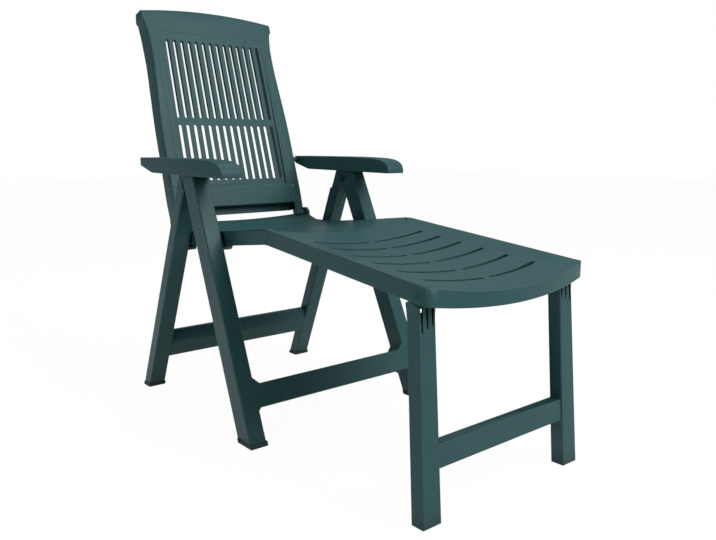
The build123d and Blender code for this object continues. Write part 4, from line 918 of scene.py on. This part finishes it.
SLOTS = 14
SLOT_RADIUS = 5.0
EDGE_WALL = 2.0
EDGE_DEPTH = 12
CUT_BEHIND = 30
CUT_AHEAD = 20
SLOT_ROWS = ((117.8, 285.2), (305.6, 542.0))
PITCH_LOW = 24.4
PITCH_HIGH = 23.3
FAN = (PITCH_HIGH - PITCH_LOW) / (SLOT_ROWS[1][1] - SLOT_ROWS[0][0])
for low, high in SLOT_ROWS:
    half_slot = (high - low) / 2 - SLOT_RADIUS
    centre = (low + high) / 2
    pitch = PITCH_LOW + FAN * (centre - SLOT_ROWS[0][0])
    inner = stadium(half_slot, SLOT_RADIUS)
    outer = stadium(half_slot, SLOT_RADIUS + EDGE_WALL)
    cutter = prism("slot_cutter", inner, upright, -CUT_BEHIND, CUT_AHEAD)

    def edge_top(a, b):
        """The edge starts halfway through the sheet."""
        return -recess_depth(0, centre + a) - SHEET / 2

    collar = ring("slot_edge", inner, outer, edge_top, -EDGE_DEPTH, upright)
    values = {
        "Cutter": cutter,
        "Edge": collar,
        "Count": SLOTS,
        "Start": (-(SLOTS - 1) / 2 * pitch * MM, centre * MM, 0),
        "Step": (pitch * MM, 0, 0),
        "Fan": -FAN,
        "Plastic": panel_plastic,
    }
    run_tree(back, slot_tree, **values)
    drop_helpers(cutter, collar)
print("backrest with slots", len(back.data.polygons), "faces")

# %% [markdown]
# ### Ribs, step and hinge lugs
# Behind the slats stand deep ribs, and below them the shell steps back between
# the rims, where it leaves room for the seat. Two lugs carry the hinge pins
# and two bosses carry the armrests. All of these are straight bars, so plain
# prisms that reach into the sheet are enough.

# %% Backrest side ribs
RIB = 2.8
RIB_DEPTH = 25.0
SIDE_RIB = 164.5


def along_x(a, b, t):
    """An outline drawn from the side: up the back, then out of the front."""
    return (t, a, b)


side_outline = [(101, -8.2), (560, -2.2), (560, -RIB_DEPTH), (101, -RIB_DEPTH)]
side_rib = prism("side_rib", side_outline, along_x, -RIB / 2, RIB / 2)
rib_values = {
    "Rib": side_rib,
    "Count": 2,
    "Start": (-SIDE_RIB * MM, 0, 0),
    "Step": (2 * SIDE_RIB * MM, 0, 0),
    "Plastic": panel_plastic,
}
run_tree(back, rib_tree, **rib_values)
drop_helpers(side_rib)


# %% Backrest cross ribs and step
def flat(a, b, t):
    """An outline across the back, in the back's own plane."""
    return (a, b, t)


def block(name, x0, x1, v0, v1, front, rear):
    """A plain bar of the shell; front and rear are depths behind the face."""
    return prism(name, [(x0, v0), (x1, v0), (x1, v1), (x0, v1)], flat, -rear, -front)


REACH = 1.5
HIDDEN = 1.6
slat_half = SIDE_RIB + REACH
cross_ribs = [(112.8, slat_half, 8.0), (295.4, slat_half, 5.6), (547.0, slat_half, 2.4)]
cross_ribs += [(level, back_half(level) - HIDDEN, 1.8) for level in (86.0, 576.0)]
extras = [
    block("cross_rib", -half, half, level - RIB / 2, level + RIB / 2, front, RIB_DEPTH)
    for level, half, front in cross_ribs
]
STEP_SETBACK = 30.0
STEP_REAR = STEP_SETBACK + WALL
STEP_TOP = BACK_STEP + WALL
extras.append(block("step_shelf", -LUG_INNER, LUG_INNER, BACK_STEP, STEP_TOP, REACH, STEP_REAR))
extras.append(block("step_flange", -LUG_INNER, LUG_INNER, BACK_BASE, STEP_TOP, STEP_SETBACK, STEP_REAR))

# %% Backrest lugs and bosses
LUG_OUTER = 215.0
HINGE_BEHIND = 6.4
LUG_RADIUS = 12.0
LUG_RISE = 46.0
ARM_PIN_RISE = 178.36
ARM_PIN_BEHIND = 8.03
BOSS_RADIUS = 7.5
BOSS_ROOT = 206
BOSS_END = 230
# The lug's face dips into the sheet, so the two never share a plane
lug_outline = [(LUG_RISE, -HIDDEN), (18.6, -HIDDEN), (18.6, -0.02), (10.15, -0.02)]
lug_outline += arc(0, -HINGE_BEHIND, LUG_RADIUS, range(42, 271, 12))
lug_outline.append((LUG_RISE, -HINGE_BEHIND - LUG_RADIUS))
boss_outline = arc(ARM_PIN_RISE, -ARM_PIN_BEHIND, BOSS_RADIUS, FULL_TURN)
for side in (-1, 1):
    cheek = (side * LUG_INNER, side * (LUG_INNER + WALL))
    extras.append(block("step_cheek", *cheek, BACK_BASE, STEP_TOP, REACH, STEP_REAR))
    extras.append(prism("hinge_lug", lug_outline, along_x, side * LUG_INNER, side * LUG_OUTER))
    extras.append(prism("arm_boss", boss_outline, along_x, side * BOSS_ROOT, side * BOSS_END))
merge(back, *extras)

# %% Lean the backrest into place
BACK_LEAN = math.radians(17.1)
BACK_ORIGIN = (0, 403.697, 491.882)
back_up = Vector((0, math.sin(BACK_LEAN), math.cos(BACK_LEAN)))
back_front = Vector((0, -math.cos(BACK_LEAN), math.sin(BACK_LEAN)))
back_origin = Vector(BACK_ORIGIN) * MM
lean = Matrix.Identity(4)
for row in range(3):
    lean[row][1], lean[row][2], lean[row][3] = back_up[row], back_front[row], back_origin[row]
back.data.transform(lean)
stand_for(back, "backrest_panel", panel_plastic)

# %% [markdown]
# ## Armrests
# Each armrest is an upturned tray: flat on top, with a nose that turns down in
# one sweep, and open below. It could be a sculpted box. Here its side view is
# drawn once and carried across the width, the long corners are rounded, the
# underside is taken away and the rest gets its wall. That keeps the sweep of
# the nose smooth.

# %% Armrest sizes
ARM_INNER = 231.0
ARM_OUTER = 290.5
ARM_TOP = 671.0
ARM_BASE = 627.0
ARM_WALL = 3.0
ARM_EDGE = 3.5
NOSE_Y = 22.814
NOSE_LENGTH = 122.0
NOSE_FRONT_TOP = 638.0
TAIL_Y = 472.314
TAIL_RISE = 23.0
TAIL_LENGTH = 74.0
BASE_RISE = 4.0
nose_places = (0.008, 0.05, 0.15, 0.3, 0.54, 1.0, 1.4)
nose_drops = (0.7, 0.46, 0.27, 0.15, 0.07, 0.025, 0.0)


def arm_top_at(y):
    """Height of the armrest's top above one place along it."""
    drop = through(nose_places, nose_drops, (y - NOSE_Y) / NOSE_LENGTH)
    return ARM_TOP - (ARM_TOP - ARM_BASE) * drop


def from_side(a, b, t):
    """An outline in the side view: along the armrest, then up."""
    return (t, a, b)


print("armrest top at the nose's end", round(arm_top_at(NOSE_Y + NOSE_LENGTH), 1), "mm")

# %% Armrest side view
nose_shares = (1.4, 1.2, 1.0, 0.84, 0.7, 0.58, 0.47, 0.38, 0.3, 0.23, 0.17, 0.12, 0.08, 0.045, 0.02)
nose_ys = [NOSE_Y + NOSE_LENGTH * share for share in nose_shares]
arm_outline = [(TAIL_Y, ARM_BASE + TAIL_RISE), (TAIL_Y, ARM_TOP)]
arm_outline += [(y, arm_top_at(y)) for y in nose_ys]
arm_outline += [(NOSE_Y, NOSE_FRONT_TOP), (NOSE_Y, ARM_BASE)]
arm_outline.append((TAIL_Y - TAIL_LENGTH, ARM_BASE + BASE_RISE))
arm = prism("armrest_shell", arm_outline, from_side, ARM_INNER, ARM_OUTER)

# %% Armrest shell
FACES_DOWN = -0.5
FACES_ACROSS = 0.5
UNDERSIDE = 655 * MM
shell = bmesh.new()
shell.from_mesh(arm.data)
below = [
    face
    for face in shell.faces
    if face.normal.z < FACES_DOWN
    and abs(face.normal.x) < FACES_ACROSS
    and face.calc_center_median().z < UNDERSIDE
]
bmesh.ops.delete(shell, geom=below, context="FACES")
long_edges = []
for line_edge in shell.edges:
    first, second = line_edge.verts
    if not line_edge.is_boundary and abs(first.co.x - second.co.x) <= MM:
        long_edges.append(line_edge)
bmesh.ops.bevel(
    shell, geom=long_edges, offset=ARM_EDGE * MM, segments=4, profile=0.5, affect="EDGES"
)
shell.to_mesh(arm.data)
shell.free()
thicken(arm, ARM_WALL * MM)
print("armrest shell", len(arm.data.polygons), "faces")

# %% [markdown]
# ### What is under the armrest
# Five short ribs cross the hollow, and two racks of nine notches run along it.
# The notches drop over the heads of the legs and set the recline. Ribs and
# racks repeat, so the rib tree places them. The first rib is lower than the
# others, because the nose has begun to fall there.

# %% Armrest ribs
ARM_RIB_BASE = 661.0
ARM_RIB_TOP = 668.6
ARM_RIB_STEP = 68.0
FIRST_RIB = 48
rib_low, rib_high = ARM_INNER + REACH, ARM_OUTER - REACH
rib_outline = [(-RIB / 2, ARM_RIB_BASE), (RIB / 2, ARM_RIB_BASE)]
rib_outline += [(RIB / 2, ARM_RIB_TOP), (-RIB / 2, ARM_RIB_TOP)]
arm_rib = prism("arm_rib", rib_outline, from_side, rib_low, rib_high)
rib_values = {
    "Rib": arm_rib,
    "Count": 4,
    "Start": (0, (NOSE_Y + FIRST_RIB + ARM_RIB_STEP) * MM, 0),
    "Step": (0, ARM_RIB_STEP * MM, 0),
    "Plastic": panel_plastic,
}
run_tree(arm, rib_tree, **rib_values)
nose_corners = ((-RIB / 2, 657.0), (RIB / 2, 657.0), (RIB / 2, 664.4), (-RIB / 2, 664.2))
nose_outline = [(NOSE_Y + FIRST_RIB + a, b) for a, b in nose_corners]
nose_rib = prism("nose_rib", nose_outline, from_side, rib_low, rib_high)

# %% Armrest racks
RACK_Y = 209.8
RACK_BASE = 650.5
RACK_STEP = 16.0
RACK_AHEAD = 130.0
RACK_BEHIND = 78.0
RACK_X = ARM_INNER + 12
RACK_WALL = 4
RACK_SPACING = 31.5
NOTCHES = 9
NOTCH = 4.5
notch_turns = [180 - 22.5 * step for step in range(9)]
rack_start, rack_end = RACK_Y - RACK_AHEAD, RACK_Y + RACK_BEHIND
rack_outline = [(rack_start - RACK_STEP, RACK_BASE)]
for notch in range(NOTCHES):
    rack_outline += arc(RACK_Y + (notch + 1 / 2 - NOTCHES) * RACK_STEP, RACK_BASE, NOTCH, notch_turns)
rack_outline.append((rack_end, RACK_BASE))
rack_outline = [(max(a, rack_start), b) for a, b in rack_outline]
rack_tops = (rack_end, 195, 170, 145, 125, 108, 94, rack_start)
rack_outline += [(y, arm_top_at(y) - REACH) for y in rack_tops]
rack = prism("rack", rack_outline, from_side, RACK_X, RACK_X + RACK_WALL)
rack_values = {
    "Rib": rack,
    "Count": 2,
    "Start": (0, 0, 0),
    "Step": (RACK_SPACING * MM, 0, 0),
    "Plastic": panel_plastic,
}
run_tree(arm, rib_tree, **rack_values)
print("armrest with ribs and racks", len(arm.data.polygons), "faces")

# %% Armrest boss, and the left armrest as its mirror
ARM_PIN = (463.814, 660)
pin_boss = prism(
    "pin_boss", arc(*ARM_PIN, BOSS_RADIUS, FULL_TURN), from_side, ARM_INNER + REACH, RACK_X
)
drop_helpers(arm_rib, rack)
merge(arm, nose_rib, pin_boss)
left_mesh = arm.data.copy()
left_mesh.transform(Matrix.Diagonal((-1, 1, 1, 1)))
left_mesh.flip_normals()
left_arm = link_mesh(left_mesh, "armrest_shell_left")
stand_for(arm, "armrest_right", panel_plastic)
stand_for(left_arm, "armrest_left", panel_plastic)


# %% [markdown]
# ## Pieces that keep their own solids
# The leg frames, the seat, the footrest and the foot caps already have the
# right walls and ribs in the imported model, so making them again would gain
# nothing. They are copied, their loose triangles are merged and the shading is
# smoothed over the gentle curves, while every real corner stays crisp. The
# pins keep their own mesh and only get the plastic.

# %% Copy helpers
def keep_node(name, material):
    """Gives a carried-over piece its material."""
    node = frame["nodes"][name]
    node.data.materials.clear()
    node.data.materials.append(material)


def smooth_copy(name, material, webs=()):
    """A merged, smoothly shaded copy that stands for a carried-over moulding."""
    node = frame["nodes"][name]
    shell = bmesh.new()
    shell.from_mesh(node.data)
    bmesh.ops.remove_doubles(shell, verts=shell.verts, dist=0.01 * MM)
    for web in webs:
        shell.from_mesh(web.data)
    mesh = bpy.data.meshes.new(name + "_moulding")
    shell.to_mesh(mesh)
    shell.free()
    mesh.materials.clear()
    mesh.materials.append(material)
    piece = link_mesh(mesh, name + "_moulding")
    shade_smooth(piece, 28)
    weights = piece.modifiers.new("even shading", "WEIGHTED_NORMAL")
    weights.keep_sharp = True
    bake(piece)
    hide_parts(name)
    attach(piece, node["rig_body"])


# %% [markdown]
# ### Webs behind the flutes
# Three tapering flutes pierce the front of each footrest leg under the skirt.
# In the photograph they are black, with no daylight behind them, so small webs
# close most of the channel there. A little still shows at the very top of the
# near leg's outer flute. The webs keep clear of the footrest's lugs, which
# turn inside the leg.

# %% Flute webs
FOOT_PIVOT = (-551.786, 414.0)
FOOT_TILT = math.atan(0.072)
WEB_FOOT = -64
WEB_REAR = 9
WEB_FRONT = 11.5


def behind_flutes(a, b, t):
    """Along the footrest's leg, then ahead of its pin; t runs across."""
    y = FOOT_PIVOT[0] + a * math.sin(FOOT_TILT) - b * math.cos(FOOT_TILT)
    z = FOOT_PIVOT[1] + a * math.cos(FOOT_TILT) + b * math.sin(FOOT_TILT)
    return (t, y, z)


flute_webs = []
for side in (-1, 1):
    for inner_x, outer_x, web_top in ((194.0, 202.2, 9), (202.2, 223.6, -12), (223.6, 231.5, 9)):
        outline = [(WEB_FOOT, WEB_REAR), (web_top, WEB_REAR)]
        outline += [(web_top, WEB_FRONT), (WEB_FOOT, WEB_FRONT)]
        flute_webs.append(prism("flute_web", outline, behind_flutes, side * inner_x, side * outer_x))
print(len(flute_webs), "webs")

# %% Finish the kept nodes
for name in frame["nodes"]:
    if name in ("backrest_panel", "armrest_left", "armrest_right"):
        continue
    if "pin" in name or "peg" in name:
        keep_node(name, pin_plastic)
    elif name.startswith("foot_cap"):
        smooth_copy(name, cap_plastic)
    elif name == "footrest_leg_frame":
        smooth_copy(name, frame_plastic, flute_webs)
        drop_helpers(*flute_webs)
    elif "leg_frame" in name:
        smooth_copy(name, frame_plastic)
    else:
        smooth_copy(name, panel_plastic)
print("kept nodes finished")


# %% [markdown]
# ## Floor and light
# The photograph has a plain white ground and soft light. A large floor mixes a
# white glow, which the camera and reflections see, with a plain diffuse paint
# that still takes the lounger's soft shadow. The sky is white to the camera
# and only a weak fill for everything else.

# %% Floor
FLOOR_HALF = 14.0
floor = link_mesh(
    mesh_from(
        [
            (-FLOOR_HALF, -FLOOR_HALF, 0),
            (FLOOR_HALF, -FLOOR_HALF, 0),
            (FLOOR_HALF, FLOOR_HALF, 0),
            (-FLOOR_HALF, FLOOR_HALF, 0),
        ],
        [(0, 1, 2, 3)],
        "floor",
    ),
    "studio_floor",
)
floor_paint = bpy.data.materials.new("studio floor white")
floor_paint.use_nodes = True
floor_tree = floor_paint.node_tree
floor_diffuse = floor_tree.nodes["Principled BSDF"]
floor_diffuse.inputs["Base Color"].default_value = (0.62, 0.62, 0.62, 1)
floor_diffuse.inputs["Roughness"].default_value = 0.9
floor_glow = floor_tree.nodes.new("ShaderNodeEmission")
floor_glow.inputs["Strength"].default_value = 1.05
floor_mix = floor_tree.nodes.new("ShaderNodeMixShader")
floor_rays = floor_tree.nodes.new("ShaderNodeLightPath")
floor_seen = floor_tree.nodes.new("ShaderNodeMath")
floor_seen.operation = "MAXIMUM"
floor_share = floor_tree.nodes.new("ShaderNodeMath")
floor_share.operation = "MULTIPLY"
floor_share.inputs[1].default_value = 0.92
wire(
    floor_tree,
    [
        (floor_rays.outputs["Is Camera Ray"], floor_seen.inputs[0]),
        (floor_rays.outputs["Is Glossy Ray"], floor_seen.inputs[1]),
        (floor_seen.outputs["Value"], floor_share.inputs[0]),
        (floor_share.outputs["Value"], floor_mix.inputs["Fac"]),
        (floor_diffuse.outputs["BSDF"], floor_mix.inputs[1]),
        (floor_glow.outputs["Emission"], floor_mix.inputs[2]),
        (floor_mix.outputs["Shader"], floor_tree.nodes["Material Output"].inputs["Surface"]),
    ],
)
floor.data.materials.append(floor_paint)

# %% Sky
world = bpy.data.worlds.new("studio")
scene.world = world
world.use_nodes = True
sky_tree = world.node_tree
sky_tree.nodes.clear()
sky_fill = sky_tree.nodes.new("ShaderNodeBackground")
sky_fill.inputs["Color"].default_value = (0.95, 0.98, 1.0, 1)
sky_fill.inputs["Strength"].default_value = 0.30
sky_white = sky_tree.nodes.new("ShaderNodeBackground")
sky_white.inputs["Color"].default_value = (1, 1, 1, 1)
sky_white.inputs["Strength"].default_value = 1.0
sky_mix = sky_tree.nodes.new("ShaderNodeMixShader")
sky_rays = sky_tree.nodes.new("ShaderNodeLightPath")
sky_out = sky_tree.nodes.new("ShaderNodeOutputWorld")
wire(
    sky_tree,
    [
        (sky_rays.outputs["Is Camera Ray"], sky_mix.inputs["Fac"]),
        (sky_fill.outputs["Background"], sky_mix.inputs[1]),
        (sky_white.outputs["Background"], sky_mix.inputs[2]),
        (sky_mix.outputs["Shader"], sky_out.inputs["Surface"]),
    ],
)


# %% [markdown]
# ### Lamps
# In the photograph the fronts and tops are about equally light and the left
# sides are darker. So a broad soft box stands in front and above, a weaker one
# hangs overhead, and a faint one lifts the left side.

# %% Lamps
def soft_lamp(name, place, target, size, power):
    """A square soft box that looks at a point."""
    lamp_data = bpy.data.lights.new(name, "AREA")
    lamp_data.shape = "SQUARE"
    lamp_data.size = size
    lamp_data.energy = power
    lamp = bpy.data.objects.new(name, lamp_data)
    lamp.location = place
    aim = Vector(target) - Vector(place)
    lamp.rotation_euler = aim.to_track_quat("-Z", "Y").to_euler()
    scene.collection.objects.link(lamp)
    return lamp


soft_lamp("key_soft_box", (1.4, -3.2, 3.2), (0, 0, 0.4), 2.4, 138)
soft_lamp("top_soft_box", (0.2, 0.6, 3.6), (0, 0, 0.4), 2.6, 36)
soft_lamp("left_soft_box", (-3.4, -0.6, 1.6), (0, 0, 0.5), 2.0, 13)
